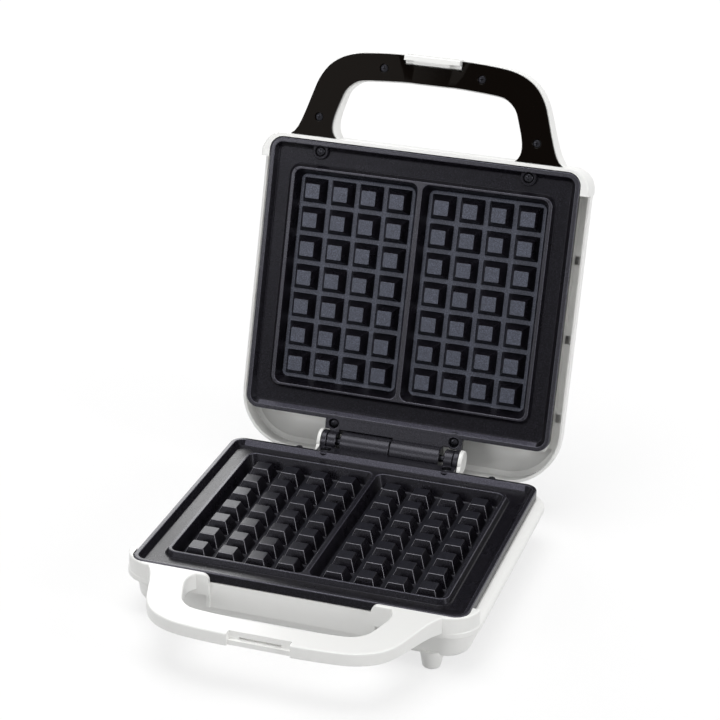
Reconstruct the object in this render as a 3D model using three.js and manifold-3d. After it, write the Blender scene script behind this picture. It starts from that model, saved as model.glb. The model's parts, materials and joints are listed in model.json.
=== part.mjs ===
// A belgian waffle maker with two cast griddle plates, shown with its lid leaning open.
// Millimetres, +X to the right, +Y to the back, +Z up.
// Each half is drawn as a lower half: X across, Y back from the middle of the plate, and
// Z down from zero at the parting plane where the halves meet. The lid's half is turned
// over about the Y axis and swung open on the hinge pin.
import * as THREE from "three";
import { mergeVertices } from "three/addons/utils/BufferGeometryUtils.js";
import Module from "manifold-3d";

const wasm = await Module();
wasm.setup();

// Whole object
const parting_height = 46.8; // table to the parting plane
const parting_gap = 0.6; // between the two rims when closed
const lid_opening = THREE.MathUtils.degToRad(105);
const clearance = 0.3; // between pieces that sit on one another
const overrun = 1; // how far a cut runs past a face

// Field of studs
const stud_rows = 7;
const stud_columns = 4; // in each of the two cavities
const stud_pitch = 22.35;
const stud_top = 11.2;
const stud_base = 18.6;
const stud_height = 9.2;
const stud_below_rim = 1.5;
const floor_margin = 3.2; // floor left round the outermost studs
const divider_foot = 10.2; // between the two cavity floors
const divider_crest = 3.4;
const cavity_corner = 5;
const cavity_side_draft = 2.6;
const cavity_end_draft = 3.8;

// Dam, band and rim of a plate
const dam_side_crest = 2.4;
const dam_end_crest = 1.4;
const dam_slope = 2.3;
const dam_below_rim = 0.4;
const dam_corner = 9;
const band_side = 10.2; // flat band between the dam and the rim, at the sides
const band_end = 12.1; // and at the front and back
const rim_flat = 3.2;
const rim_slope = 3.2;
const rim_round = 1.1;
const rim_above_band = 4.5;
const band_thickness = 2.6;
const plate_corner = 10;
const floor_thickness = 4;
const underside_taper = 3.5;

// Hinge
const pin_behind_rim = 17.1; // from the plate's rear edge to the pin
const pin_radius = 3;
const barrel_radius = 9;
const barrel_length = 41.25;
const barrel_gap = 0.5; // between the two barrels
const eye_offset = 45.3; // from the middle to the inner face of an eye
const eye_width = 4.7;
const eye_radius = 6.5;
const cheek_offset = 51;
const cheek_width = 2.7;
const cheek_radius = 7;
const shelf_thickness = 4.5;
const shelf_reach = 7.6; // from the rim towards the pin
const ear_gap = 0.4; // between a cheek and its ear
const ear_width = 3.9;
const ear_radius = 9;
const ear_round = 2.8; // on the outer edge of an ear
const lug_radius = 2.8; // two lugs on the lower plate's rear edge
const lug_reach = 3.9;
const lug_x = { left: 69, right: 84 };
const lug_drop = 0.5;

// Screws that hold the plates
const screw_head_radius = 3.5;
const screw_head_height = 2.2;
const screw_shank_radius = 1.9;
const plate_screw_length = 11;
const boss_radius = 5.6;
const boss_nose_radius = 4.6; // swells out over the band in front of a rear boss
const boss_nose_forward = 3.4;
const front_boss_radius = 6.3;
const boss_seat_depth = 3.6; // rim to the seat under the screw's head
const front_boss_drop = 1.5; // rim to the top of a front boss
const rear_boss_x = 48;
const rear_boss_behind_rim = 3.3;
const front_boss_x = 81.5;
const front_boss_inside_rim = 7.6;
const post_radius = 4.2;

// Shells
const wall = 2.4;
const plate_fit = 0.7; // round the plate's edge
const shoulder_run = 6.3; // from the plate's edge out to the side of a shell
const shoulder_fall = 4.8; // and how much lower its outer edge is
const front_lip = 2.8; // shell in front of the plate's edge
const shell_corner = 16;
const base_front_corner = 22;
const bumper_below_parting = 0.5;
const bumper_side_length = 16; // how far a corner bumper wraps down the side
const bumper_inner_x = 60; // where a bumper ends beside the handle's opening
const bumper_round = 5;
const bumper_inset = 0.7; // from the side of the band
const recess_half_width = 57; // of the band's front, behind the finger gap

// Base
const base_behind_rim = 7.5; // plate's rear edge to the back of the base
const base_back_corner = 20;
const band_bottom_depth = 16.5; // parting plane to the lower edge of the white band
const pan_inset = 3.6;
const pan_depth = 37; // parting plane to the flat bottom
const pan_round = 9;
const pan_taper = 3;
const pan_overlap = 2; // how far the pan reaches up inside the band
const foot_top_radius = 8.2;
const foot_bottom_radius = 6.3;
const foot_x = 96.5;
const front_foot_y = 96;
const rear_foot_y = 98;
const pad_radius = 4.9;
const pad_thickness = 1.6;
const pad_seat = 0.8; // how deep a pad is set into its foot
const pan_post_radius = 4.6;
const pan_post_inset = 16.2; // from the side of the base
const pan_post_front_y = 84;
const pan_post_rear_y = 88;
const pan_screw_length = 15;
const pan_screw_recess = 7; // flat bottom to the seat of a screw
const gland_x = 88;
const gland_depth = 22.6; // parting plane to the middle of the gland
const gland_neck = 3.9;
const gland_flange = 5;
const gland_bore = 3;
const gland_tail = 6;
const gland_flange_width = 1.8;

// Lid
const lid_behind_pin = 13.4; // pin to the back of the lid
const lid_back_corner = 42;
const lid_depth = 39; // parting plane to the crown
const lid_round = 16;
const lid_crown = 3;
const trough_depth = 4; // shell's edge to the floor of the trough beside the plate
const vent_length = 6.5;
const vent_pitch = 60.8;
const vent_middle_y = 21.5;
const vents_per_side = 3;
const lens_radius = 4.2;
const lens_x = 16;
const lens_y = 78;
const lens_proud = 0.8;
const lens_height = 5;
const board_size = { x: 64, y: 14, z: 1.6 };
const board_post_radius = 2.4;
const board_post_x = 27;
const board_below_lens = 2.5;

// Handles
const handle_root = 107.2; // half the width across the roots, outside
const handle_inner_root = 69; // and inside
const handle_reach = 69.5; // front of the shell to the end of the handle
const handle_bar_width = 22; // from the finger gap to the end
const handle_overlap = 2; // how far the arms run into the shell
const handle_bevel = 1.2;
const base_bar_thickness = 9.6;
const base_arm_thickness = 13;
const lid_bar_thickness = 14;
const lid_arm_thickness = 19;
const arm_taper_length = 36; // from the roots, along which the arms thin down
const liner_thickness = 2.6;
const liner_inset = 1;
const liner_round = 0.5;
const liner_screw_head = 2.9;
const liner_screw_head_height = 1.3;
const liner_screw_shank = 1.5;
const liner_screw_sunk = 0.2;
const liner_screw_length = 9;
const liner_screw_root_x = 85;
const liner_screw_root_reach = 14.9;
const liner_screw_bar_x = 38;
const liner_screw_bar_inset = 12.5; // from the end of the handle

// Latch
const latch_width = 43;
const latch_blade = 4; // thickness of the blade that enters the notch
const latch_head = 6.6; // thickness of the block that carries the pin
const latch_head_below = 0.9; // parting plane to the block, when closed
const latch_reach = 5.9; // parting plane to the blade's tip, when closed
const latch_catch_width = 28;
const latch_catch_reach = 2.4;
const latch_catch_height = 1.4;
const latch_gap = 0.7;
const latch_front_inset = 0.4;
const latch_pin_radius = 1.5;
const latch_pin_depth = 8.5;
const latch_pin_grip = 5; // pin in the handle on each side
const notch_floor_drop = 6.6;
const notch_floor_reach = 2.4;

// Heater and what sits round it
const heater_radius = 3.3;
const heater_half_width = 80;
const heater_half_depth = 60;
const heater_bend = 14;
const heater_leg_x = 13;
const heater_tail = 9; // past the front of the dam
const heater_cover = 1.3; // metal between the groove and the cavity floor
const tray_half_width = 92;
const tray_half_depth = 76;
const tray_corner = 12;
const tray_depth = 7.6;
const tray_sheet = 0.8;
const tray_draft = 3;
const thermostat_radius = 8;
const thermostat_height = 5.6;
const thermostat_y = 28;
const thermostat_flange = 11;
const thermostat_flange_height = 1;
const fuse_radius = 2.4;
const fuse_length = 24;
const fuse_y = 26;
const block_size = { x: 36, y: 16, z: 6 };
const block_y = 84;
const block_pad = 1.6; // moulded pad under the terminal block

// Facets
const corner_steps = 4;
const barrel_steps = 16;
const round_steps = 12;
const small_steps = 6;
const heater_sides = 6;
const bend_steps = 3;

// Worked out from the sizes above
const field_depth = (stud_rows - 1) * stud_pitch + stud_base;
const field_width = (stud_columns - 1) * stud_pitch + stud_base;
const floor_near = divider_foot / 2;
const floor_far = floor_near + field_width + 2 * floor_margin;
const floor_half_depth = field_depth / 2 + floor_margin;
const cavity_half_width = floor_far + cavity_side_draft;
const cavity_half_depth = floor_half_depth + cavity_end_draft;
const dam_half_width = cavity_half_width + dam_side_crest + dam_slope;
const dam_half_depth = cavity_half_depth + dam_end_crest + dam_slope;
const plate_half_width = dam_half_width + band_side + rim_slope + rim_flat;
const plate_half_depth = dam_half_depth + band_end + rim_slope + rim_flat;

const rim_level = -parting_gap / 2;
const band_level = rim_level - rim_above_band;
const skirt_level = band_level - band_thickness;
const seat_level = skirt_level - clearance; // top of the ledges and posts under a plate
const dam_level = rim_level - dam_below_rim;
const stud_level = rim_level - stud_below_rim;
const floor_level = stud_level - stud_height;
const underside_level = floor_level - floor_thickness;
const heater_level = floor_level - heater_cover - heater_radius - clearance;
const shoulder_level = seat_level - shoulder_fall;
const trough_level = shoulder_level - trough_depth;

const pin_y = plate_half_depth + pin_behind_rim;
const shelf_back = plate_half_depth + shelf_reach;
const ear_offset = cheek_offset + cheek_width + ear_gap;
const pin_end = ear_offset + ear_width / 2; // inside the right ear
const rear_boss_y = plate_half_depth + rear_boss_behind_rim;
const front_boss_y = -plate_half_depth + front_boss_inside_rim;

const shell_half_width = plate_half_width + plate_fit + shoulder_run;
const shell_front = plate_half_depth + plate_fit + front_lip;
const base_back = plate_half_depth + base_behind_rim;
const lid_back = pin_y + lid_behind_pin;
const ledge_inset = shoulder_run + wall;
const bar_end = -shell_front - handle_reach;
const handle_inner_reach = handle_reach - handle_bar_width;
const pan_post_x = shell_half_width - pan_post_inset;
const pan_top = -band_bottom_depth + pan_overlap;
const latch_front = bar_end + latch_front_inset;
const latch_pin_y = latch_front + latch_head / 2;
const latch_pin_half = latch_width / 2 + latch_gap + latch_pin_grip;
const plate_screw_top = rim_level - boss_seat_depth + clearance + screw_head_height;
const lens_low = -lid_depth - lens_proud;
const board_level = lens_low + lens_height + board_below_lens;
const farthest = 2 * (shell_half_width + handle_reach + lid_back);

// Places of the screws and feet
const both_sides = [-1, 1];
const rear_screw_places = both_sides.map((side) => [side * rear_boss_x, rear_boss_y]);
const front_screw_places = both_sides.map((side) => [side * front_boss_x, front_boss_y]);
const pan_screw_places = both_sides.flatMap((side) => [
  [side * pan_post_x, -pan_post_front_y],
  [side * pan_post_x, pan_post_rear_y],
]);
const foot_places = both_sides.flatMap((side) => [
  [side * foot_x, -front_foot_y],
  [side * foot_x, rear_foot_y],
]);
const liner_screw_places = both_sides.flatMap((side) => [
  [side * liner_screw_root_x, -shell_front - liner_screw_root_reach],
  [side * liner_screw_bar_x, bar_end + liner_screw_bar_inset],
]);

// Materials
const finish = (color, roughness, metalness = 0) =>
  new THREE.MeshStandardMaterial({ color, roughness, metalness });
const white_plastic = finish(0xf3f3f1, 0.32);
const coated_cast = finish(0x1d1e21, 0.55, 0.3);
const black_gloss = finish(0x0d0a09, 0.12);
const dark_steel = finish(0x26282b, 0.4, 0.8);
const bright_steel = finish(0xb6b8ba, 0.3, 1);
const grey_rubber = finish(0x55585a, 0.9);
const amber_lens = finish(0xd8741c, 0.2);
const green_lens = finish(0x3d9a46, 0.2);
const brown_resin = finish(0x4a3a2c, 0.6);
const ceramic = finish(0xe6e0d2, 0.5);

// Solids and meshes
function solid(geometry) {
  const bare = geometry.clone();
  bare.deleteAttribute("normal");
  bare.deleteAttribute("uv");
  const merged = mergeVertices(bare, 1e-4);
  return new wasm.Manifold(
    new wasm.Mesh({
      numProp: 3,
      vertProperties: merged.attributes.position.array,
      triVerts: new Uint32Array(merged.index.array),
    }),
  );
}
function named(name, made, material) {
  const { numProp, numVert, vertProperties, triVerts } = made.getMesh();
  const points = new Float32Array(numVert * 3);
  for (let i = 0; i < numVert; i++)
    points.set(vertProperties.subarray(i * numProp, i * numProp + 3), i * 3);
  const geometry = new THREE.BufferGeometry()
    .setAttribute("position", new THREE.BufferAttribute(points, 3))
    .setIndex(new THREE.BufferAttribute(triVerts, 1));
  geometry.computeVertexNormals();
  const mesh = new THREE.Mesh(geometry, material);
  mesh.name = name;
  return mesh;
}
const joined = (solids) => solids.reduce((all, one) => all.add(one));

// A plan with rounded corners, each plan with the same number of points.
const plan_of = (half_width, front, back, front_corner, back_corner) => ({
  half_width,
  front,
  back,
  front_corner,
  back_corner,
});
const rectangle = (half_width, half_depth, corner) =>
  plan_of(half_width, half_depth, half_depth, corner, corner);
const least_corner_share = 0.4;
function ring(plan, z, inset = 0, x = 0) {
  const { half_width, front, back, front_corner, back_corner } = plan;
  const points = [];
  const corners = [
    [1, -1, -90, front_corner, front],
    [1, 1, 0, back_corner, back],
    [-1, 1, 90, back_corner, back],
    [-1, -1, 180, front_corner, front],
  ];
  for (const [side, end, start, corner, reach] of corners) {
    const radius = Math.max(corner - inset, corner * least_corner_share);
    const cx = side * (half_width - inset - radius) + x;
    const cy = end * (reach - inset - radius);
    for (let i = 0; i <= corner_steps; i++) {
      const angle = THREE.MathUtils.degToRad(start + (90 * i) / corner_steps);
      points.push([cx + radius * Math.cos(angle), cy + radius * Math.sin(angle), z]);
    }
  }
  return points;
}
// A solid through a stack of convex rings, from the lowest up.
function loft(...rings) {
  const count = rings[0].length;
  const index = [];
  for (let k = 0; k + 1 < rings.length; k++)
    for (let i = 0; i < count; i++) {
      const a = k * count + i;
      const b = k * count + ((i + 1) % count);
      index.push(a, b, b + count, a, b + count, a + count);
    }
  const last = (rings.length - 1) * count;
  for (let i = 1; i + 1 < count; i++) {
    index.push(0, i + 1, i);
    index.push(last, last + i, last + i + 1);
  }
  const geometry = new THREE.BufferGeometry();
  geometry.setAttribute("position", new THREE.Float32BufferAttribute(rings.flat(2), 3));
  geometry.setIndex(index);
  return solid(geometry);
}
function box(x0, x1, y0, y1, z0, z1) {
  const geometry = new THREE.BoxGeometry(Math.abs(x1 - x0), y1 - y0, z1 - z0);
  geometry.translate((x0 + x1) / 2, (y0 + y1) / 2, (z0 + z1) / 2);
  return solid(geometry);
}
const behind = (y) => box(-farthest, farthest, y, farthest, -farthest, farthest);
const in_front = (y) => box(-farthest, farthest, -farthest, y, -farthest, farthest);
// A round bar standing along Z.
function disc(radius, low, high, x, y, steps = round_steps, top_radius = radius) {
  const geometry = new THREE.CylinderGeometry(top_radius, radius, high - low, steps);
  geometry.rotateX(Math.PI / 2);
  geometry.translate(x, y, (low + high) / 2);
  return solid(geometry);
}
// A round bar lying along X.
function bar(radius, x0, x1, y, z, steps = barrel_steps) {
  const geometry = new THREE.CylinderGeometry(radius, radius, x1 - x0, steps);
  geometry.rotateZ(-Math.PI / 2);
  geometry.translate((x0 + x1) / 2, y, z);
  return solid(geometry);
}
function extruded(points, low, high, bevel = 0) {
  const shape = new THREE.Shape(points.map(([x, y]) => new THREE.Vector2(x, y)));
  const geometry = new THREE.ExtrudeGeometry(shape, {
    depth: high - low - 2 * bevel,
    bevelEnabled: bevel > 0,
    bevelThickness: bevel,
    bevelSize: bevel,
    bevelOffset: -bevel,
    bevelSegments: 1,
  });
  geometry.translate(0, 0, low + bevel);
  return solid(geometry);
}
// A profile of [y, z] points, drawn out along X.
function across(points, x0, x1) {
  const shape = new THREE.Shape(points.map(([y, z]) => new THREE.Vector2(y, z)));
  const geometry = new THREE.ExtrudeGeometry(shape, { depth: x1 - x0, bevelEnabled: false });
  geometry.rotateX(Math.PI / 2);
  geometry.rotateZ(Math.PI / 2);
  geometry.translate(x0, 0, 0);
  return solid(geometry);
}
// A profile of [x, z] points, drawn out along Y.
function along(points, y0, y1) {
  const shape = new THREE.Shape(points.map(([x, z]) => new THREE.Vector2(x, z)));
  const geometry = new THREE.ExtrudeGeometry(shape, { depth: y1 - y0, bevelEnabled: false });
  geometry.rotateX(Math.PI / 2);
  geometry.translate(0, y1, 0);
  return solid(geometry);
}
// A profile of [radius, height] points turned about a line along Z.
function turned(points, x = 0, y = 0, steps = round_steps) {
  const profile = points.map(([r, z]) => new THREE.Vector2(r, z));
  const geometry = new THREE.LatheGeometry(profile, steps);
  geometry.rotateX(Math.PI / 2);
  geometry.translate(x, y, 0);
  return solid(geometry);
}
const holes = (places, shank, low, high) =>
  joined(places.map(([x, y]) => disc(shank + clearance, low, high, x, y, small_steps)));

// A screw with a pan head, the top of its head at zero
function screw(head, height, shank, length) {
  const head_round = height / 3;
  return turned(
    [
      [0, -length],
      [shank, -length + shank],
      [shank, -height],
      [head, -height],
      [head, -head_round],
      [head - head_round, 0],
      [0, 0],
    ],
    0,
    0,
    small_steps,
  );
}
const plate_screw = () =>
  screw(screw_head_radius, screw_head_height, screw_shank_radius, plate_screw_length);

// The bent heater: two straight legs at the front and a loop under both cavities
function heater_run(radius) {
  const tail_y = -dam_half_depth - heater_tail;
  const corners = [
    [-heater_leg_x, tail_y],
    [-heater_leg_x, -heater_half_depth],
    [-heater_half_width, -heater_half_depth],
    [-heater_half_width, heater_half_depth],
    [heater_half_width, heater_half_depth],
    [heater_half_width, -heater_half_depth],
    [heater_leg_x, -heater_half_depth],
    [heater_leg_x, tail_y],
  ].map(([x, y]) => new THREE.Vector3(x, y, heater_level));
  const stations = [[corners[0], corners[1].clone().sub(corners[0])]];
  for (let i = 1; i + 1 < corners.length; i++) {
    const towards = (to) => to.clone().sub(corners[i]).normalize().multiplyScalar(heater_bend);
    const enter = corners[i].clone().add(towards(corners[i - 1]));
    const leave = corners[i].clone().add(towards(corners[i + 1]));
    const bend = new THREE.QuadraticBezierCurve3(enter, corners[i], leave);
    for (let k = 0; k <= bend_steps; k++)
      stations.push([bend.getPoint(k / bend_steps), bend.getTangent(k / bend_steps)]);
  }
  stations.push([corners.at(-1), corners.at(-1).clone().sub(corners.at(-2))]);
  const up = new THREE.Vector3(0, 0, 1);
  const sections = stations.map(([place, heading]) => {
    const sideways = heading.clone().normalize().cross(up);
    return Array.from({ length: heater_sides }, (_, i) => {
      const angle = (2 * Math.PI * (i + 1 / 2)) / heater_sides;
      return place
        .clone()
        .addScaledVector(up, radius * Math.cos(angle))
        .addScaledVector(sideways, radius * Math.sin(angle))
        .toArray();
    });
  });
  return loft(...sections);
}

// One cast plate, the same for both halves but for the upper one's front screws
function stud(x, y) {
  const sink = floor_thickness / 4;
  const draft = (stud_base - stud_top) / 2 / stud_height;
  const square = (half, z) => [
    [x - half, y - half, z],
    [x + half, y - half, z],
    [x + half, y + half, z],
    [x - half, y + half, z],
  ];
  return loft(
    square(stud_base / 2 + draft * sink, floor_level - sink),
    square(stud_top / 2, stud_level),
  );
}
function cavity(side) {
  const crest_near = divider_crest / 2;
  const low = rectangle((floor_far - floor_near) / 2, floor_half_depth, cavity_corner);
  const high = rectangle((cavity_half_width - crest_near) / 2, cavity_half_depth, cavity_corner);
  const low_x = (side * (floor_far + floor_near)) / 2;
  const high_x = (side * (cavity_half_width + crest_near)) / 2;
  const edge = divider_crest / 4;
  return loft(
    ring(low, floor_level, 0, low_x),
    ring(high, dam_level - edge, 0, high_x),
    ring(high, dam_level + edge, -edge, high_x),
  );
}
function hinge_knuckles() {
  const low = rim_level - shelf_thickness;
  const side = cheek_offset + cheek_width;
  const arm = (x0, x1) => box(x0, x1, shelf_back - overrun, pin_y - pin_radius, low, rim_level);
  return box(-side, side, plate_half_depth - rim_flat, shelf_back, low, rim_level)
    .add(bar(barrel_radius, -barrel_gap / 2 - barrel_length, -barrel_gap / 2, pin_y, 0))
    .add(arm(-barrel_gap / 2 - barrel_length, -barrel_gap / 2))
    .add(bar(eye_radius, eye_offset, eye_offset + eye_width, pin_y, 0))
    .add(arm(eye_offset, eye_offset + eye_width))
    .add(bar(cheek_radius, -side, -cheek_offset, pin_y, 0))
    .add(arm(-side, -cheek_offset));
}
function screw_well(x, y) {
  const well = screw_head_radius + clearance;
  return turned(
    [
      [0, rim_level - boss_seat_depth],
      [well, rim_level - boss_seat_depth],
      [well, rim_level - rim_round],
      [well + rim_round, rim_level],
      [well + rim_round, overrun],
      [0, overrun],
    ],
    x,
    y,
  );
}
function cast_plate(is_upper) {
  const rim = rectangle(plate_half_width, plate_half_depth, plate_corner);
  const dam = rectangle(dam_half_width, dam_half_depth, dam_corner);
  const rim_inner = rim_flat - rim_round / 2;
  let made = loft(
    ring(rim, skirt_level),
    ring(rim, rim_level - rim_round),
    ring(rim, rim_level - rim_round / 3, rim_round / 3),
    ring(rim, rim_level, rim_round),
  );
  made = made.subtract(
    loft(
      ring(rim, band_level, rim_flat + rim_slope),
      ring(rim, rim_level - rim_round, rim_flat + rim_round / 2),
      ring(rim, rim_level, rim_inner),
      ring(rim, rim_level + overrun, rim_inner),
    ),
  );
  made = made.add(
    loft(
      ring(dam, underside_level, underside_taper * 2),
      ring(dam, skirt_level - overrun, underside_taper),
      ring(dam, skirt_level + band_thickness / 2),
      ring(dam, band_level),
      ring(dam, dam_level - rim_round / 2, dam_slope),
      ring(dam, dam_level, dam_slope + dam_end_crest / 2),
    ),
  );
  for (const side of both_sides) {
    made = made.subtract(cavity(side));
    for (let column = 0; column < stud_columns; column++)
      for (let row = 0; row < stud_rows; row++)
        made = made.add(
          stud(
            side * (floor_near + floor_margin + stud_base / 2 + column * stud_pitch),
            (row - (stud_rows - 1) / 2) * stud_pitch,
          ),
        );
  }
  made = made.add(hinge_knuckles());
  const lug_y = plate_half_depth + lug_reach - lug_radius;
  for (const x of is_upper ? [] : [-lug_x.left, lug_x.right])
    made = made.add(disc(lug_radius, skirt_level, rim_level - lug_drop, x, lug_y, small_steps));
  const bore_end = cheek_offset + cheek_width + overrun;
  made = made.subtract(bar(pin_radius + clearance, -bore_end, bore_end, pin_y, 0));

  // Bosses, each with a well for the head and a hole for the shank
  const front_level = rim_level - front_boss_drop;
  for (const [x, y] of rear_screw_places)
    made = made.add(
      disc(boss_radius, skirt_level, rim_level, x, y)
        .add(disc(boss_nose_radius, skirt_level, rim_level, x, y - boss_nose_forward))
        .subtract(behind(shelf_back)),
    );
  if (is_upper)
    for (const [x, y] of front_screw_places)
      made = made
        .add(disc(front_boss_radius, skirt_level, front_level, x, y))
        .add(
          box(
            x - front_boss_radius,
            x + front_boss_radius,
            -plate_half_depth + rim_flat,
            y,
            skirt_level,
            front_level,
          ),
        );
  const places = is_upper ? [...rear_screw_places, ...front_screw_places] : rear_screw_places;
  for (const [x, y] of places) made = made.subtract(screw_well(x, y));
  made = made.subtract(holes(places, screw_shank_radius, underside_level, overrun));
  return made.subtract(heater_run(heater_radius + clearance));
}

// Handle: half of the arch, as shares of the root's half width and of the reach
const handle_outer_shares = [
  [1, 0],
  [0.962, 0.062],
  [0.934, 0.15],
  [0.9, 0.3],
  [0.862, 0.49],
  [0.828, 0.64],
  [0.766, 0.79],
  [0.684, 0.89],
  [0.58, 0.953],
  [0.45, 0.982],
  [0.25, 1],
];
const handle_inner_shares = [
  [1, 0],
  [1.045, 0.085],
  [1.06, 0.2],
  [1.045, 0.36],
  [0.99, 0.62],
  [0.95, 0.77],
  [0.88, 0.88],
  [0.79, 0.945],
  [0.6, 0.975],
  [0.3, 1],
];
function arch(root_y, inset = 0) {
  const edge = (shares, half_width, reach, side) =>
    shares.map(([across_share, along_share], i) => [
      half_width * across_share - side * inset,
      i ? -shell_front - reach * along_share + (side * inset * i) / (shares.length - 1) : root_y,
    ]);
  const mirrored = (points) => points.map(([x, y]) => [-x, y]).reverse();
  const outer = edge(handle_outer_shares, handle_root, handle_reach, 1);
  const inner = mirrored(edge(handle_inner_shares, handle_inner_root, handle_inner_reach, -1));
  return [...outer, ...mirrored(outer), ...[...inner].reverse(), ...mirrored([...inner].reverse())];
}
// The arch, thick at its roots and thinner at the bar
function handle(top, bar_thickness, arm_thickness) {
  const root_y = -shell_front + handle_overlap;
  const low = top - arm_thickness;
  const side = [
    [root_y + overrun, top + overrun],
    [root_y + overrun, low],
    [-shell_front, low],
    [-shell_front - arm_taper_length, top - bar_thickness],
    [bar_end - overrun, top - bar_thickness],
    [bar_end - overrun, top + overrun],
  ];
  return extruded(arch(root_y), low, top, handle_bevel).intersect(
    across(side, -handle_root - overrun, handle_root + overrun),
  );
}

// Shells
const base_plan = plan_of(
  shell_half_width,
  shell_front,
  base_back,
  base_front_corner,
  base_back_corner,
);
const bumper_plan = plan_of(
  shell_half_width - bumper_inset,
  shell_front,
  base_back,
  base_front_corner,
  base_back_corner,
);
const lid_plan = plan_of(shell_half_width, shell_front, lid_back, shell_corner, lid_back_corner);
const plate_hole = rectangle(
  plate_half_width + plate_fit,
  plate_half_depth + plate_fit,
  plate_corner + plate_fit,
);

// Walls that rise round the front of a plate to the parting plane
function front_rim(plan, low, gap_half_width) {
  const top = -bumper_below_parting;
  const made = loft(ring(plan, low), ring(plan, top))
    .subtract(loft(ring(plate_hole, low - overrun), ring(plate_hole, overrun)))
    .intersect(in_front(-plate_half_depth + bumper_side_length));
  if (!gap_half_width) return made;
  const half = [[-gap_half_width, low - overrun]];
  for (let i = 0; i <= corner_steps; i++) {
    const angle = (Math.PI / 2) * (i / corner_steps);
    half.push([
      -gap_half_width - bumper_round * (1 - Math.cos(angle)),
      top - bumper_round * (1 - Math.sin(angle)),
    ]);
  }
  half.push([-gap_half_width - bumper_round, overrun]);
  const profile = [...half, ...half.map(([x, z]) => [-x, z]).reverse()];
  return made.subtract(along(profile, -shell_front - overrun, 0));
}
// Screw posts under a plate's bosses
const plate_posts = (places, low) =>
  joined(places.map(([x, y]) => disc(post_radius, low, seat_level, x, y, small_steps)));

// Base: white band, corner bumpers, handle and the ears that carry the hinge pin
function base_housing() {
  const low = -band_bottom_depth;
  let made = loft(
    ring(base_plan, low),
    ring(base_plan, shoulder_level),
    ring(base_plan, shoulder_level + shoulder_fall / 2, shoulder_run / 3),
    ring(base_plan, seat_level, shoulder_run),
  );
  made = made.add(
    box(-handle_root, handle_root, -shell_front, -plate_half_depth + wall, low, seat_level),
  );
  made = made.subtract(
    loft(
      ring(base_plan, low - overrun, wall),
      ring(base_plan, shoulder_level - wall, wall),
      ring(base_plan, seat_level - wall, ledge_inset),
      ring(base_plan, overrun, ledge_inset),
    ),
  );
  made = made.add(front_rim(bumper_plan, shoulder_level - overrun, bumper_inner_x));
  // Behind the finger gap the band stands back, flush with the plate
  const recess_y = -plate_half_depth - clearance;
  const behind_recess = recess_half_width + wall;
  made = made
    .add(
      box(
        -behind_recess,
        behind_recess,
        recess_y - overrun,
        -plate_half_depth + wall,
        pan_top + clearance,
        seat_level,
      ),
    )
    .subtract(
      box(
        -recess_half_width,
        recess_half_width,
        -shell_front - overrun,
        recess_y,
        low - overrun,
        overrun,
      ),
    );
  made = made.add(handle(-bumper_below_parting, base_bar_thickness, base_arm_thickness));
  made = made.subtract(latch_notch());

  for (const side of both_sides) {
    const x0 = side > 0 ? ear_offset : -ear_offset - ear_width;
    const arm = [
      [plate_half_depth + plate_fit, seat_level - wall],
      [base_back, shoulder_level],
      [pin_y, -ear_radius],
      [pin_y, 0],
      [pin_y - ear_radius, 0],
      [plate_half_depth + plate_fit, seat_level],
    ];
    made = made.add(ear(side)).add(across(arm, x0, x0 + ear_width));
  }
  const ear_end = ear_offset + ear_width + overrun;
  made = made.subtract(bar(pin_radius + clearance, -ear_end, pin_end + clearance, pin_y, 0));

  const post_low = pan_top + clearance;
  made = made.add(plate_posts(rear_screw_places, post_low));
  made = made.subtract(
    holes(rear_screw_places, screw_shank_radius, post_low - overrun, seat_level + overrun),
  );
  for (const [x, y] of pan_screw_places) {
    const edge = Math.sign(x) * (shell_half_width - wall / 2);
    made = made
      .add(disc(pan_post_radius, post_low, seat_level - wall, x, y, small_steps))
      .add(box(x, edge, y - wall / 2, y + wall / 2, post_low, shoulder_level));
  }
  return made.subtract(holes(pan_screw_places, screw_shank_radius, post_low - overrun, seat_level));
}

// A round ear that holds the end of the hinge pin, with its outer edge rounded off
function ear(side) {
  const profile = [
    [0, ear_offset],
    [ear_radius, ear_offset],
    [ear_radius, ear_offset + ear_width - ear_round],
    [ear_radius - ear_round / 3, ear_offset + ear_width - ear_round / 3],
    [ear_radius - ear_round, ear_offset + ear_width],
    [0, ear_offset + ear_width],
  ].map(([r, x]) => new THREE.Vector2(r, x));
  const geometry = new THREE.LatheGeometry(profile, barrel_steps);
  geometry.rotateZ((-side * Math.PI) / 2);
  geometry.translate(0, pin_y, 0);
  return solid(geometry);
}
// Notch in the base's handle bar for the latch, with a slot for its catch
function latch_notch() {
  const half = latch_width / 2 + latch_gap;
  const back = latch_front + latch_blade + latch_gap;
  const front = bar_end - overrun;
  const catch_half = latch_catch_width / 2 + latch_gap;
  const deep = base_bar_thickness + base_arm_thickness;
  const slot_high = -latch_reach + latch_catch_height + latch_gap;
  return box(-half, half, front, back, -notch_floor_drop, overrun)
    .add(box(-half, half, front, back - notch_floor_reach, -deep, overrun))
    .add(box(-catch_half, catch_half, front, back + latch_catch_reach, -notch_floor_drop, slot_high));
}

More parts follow.
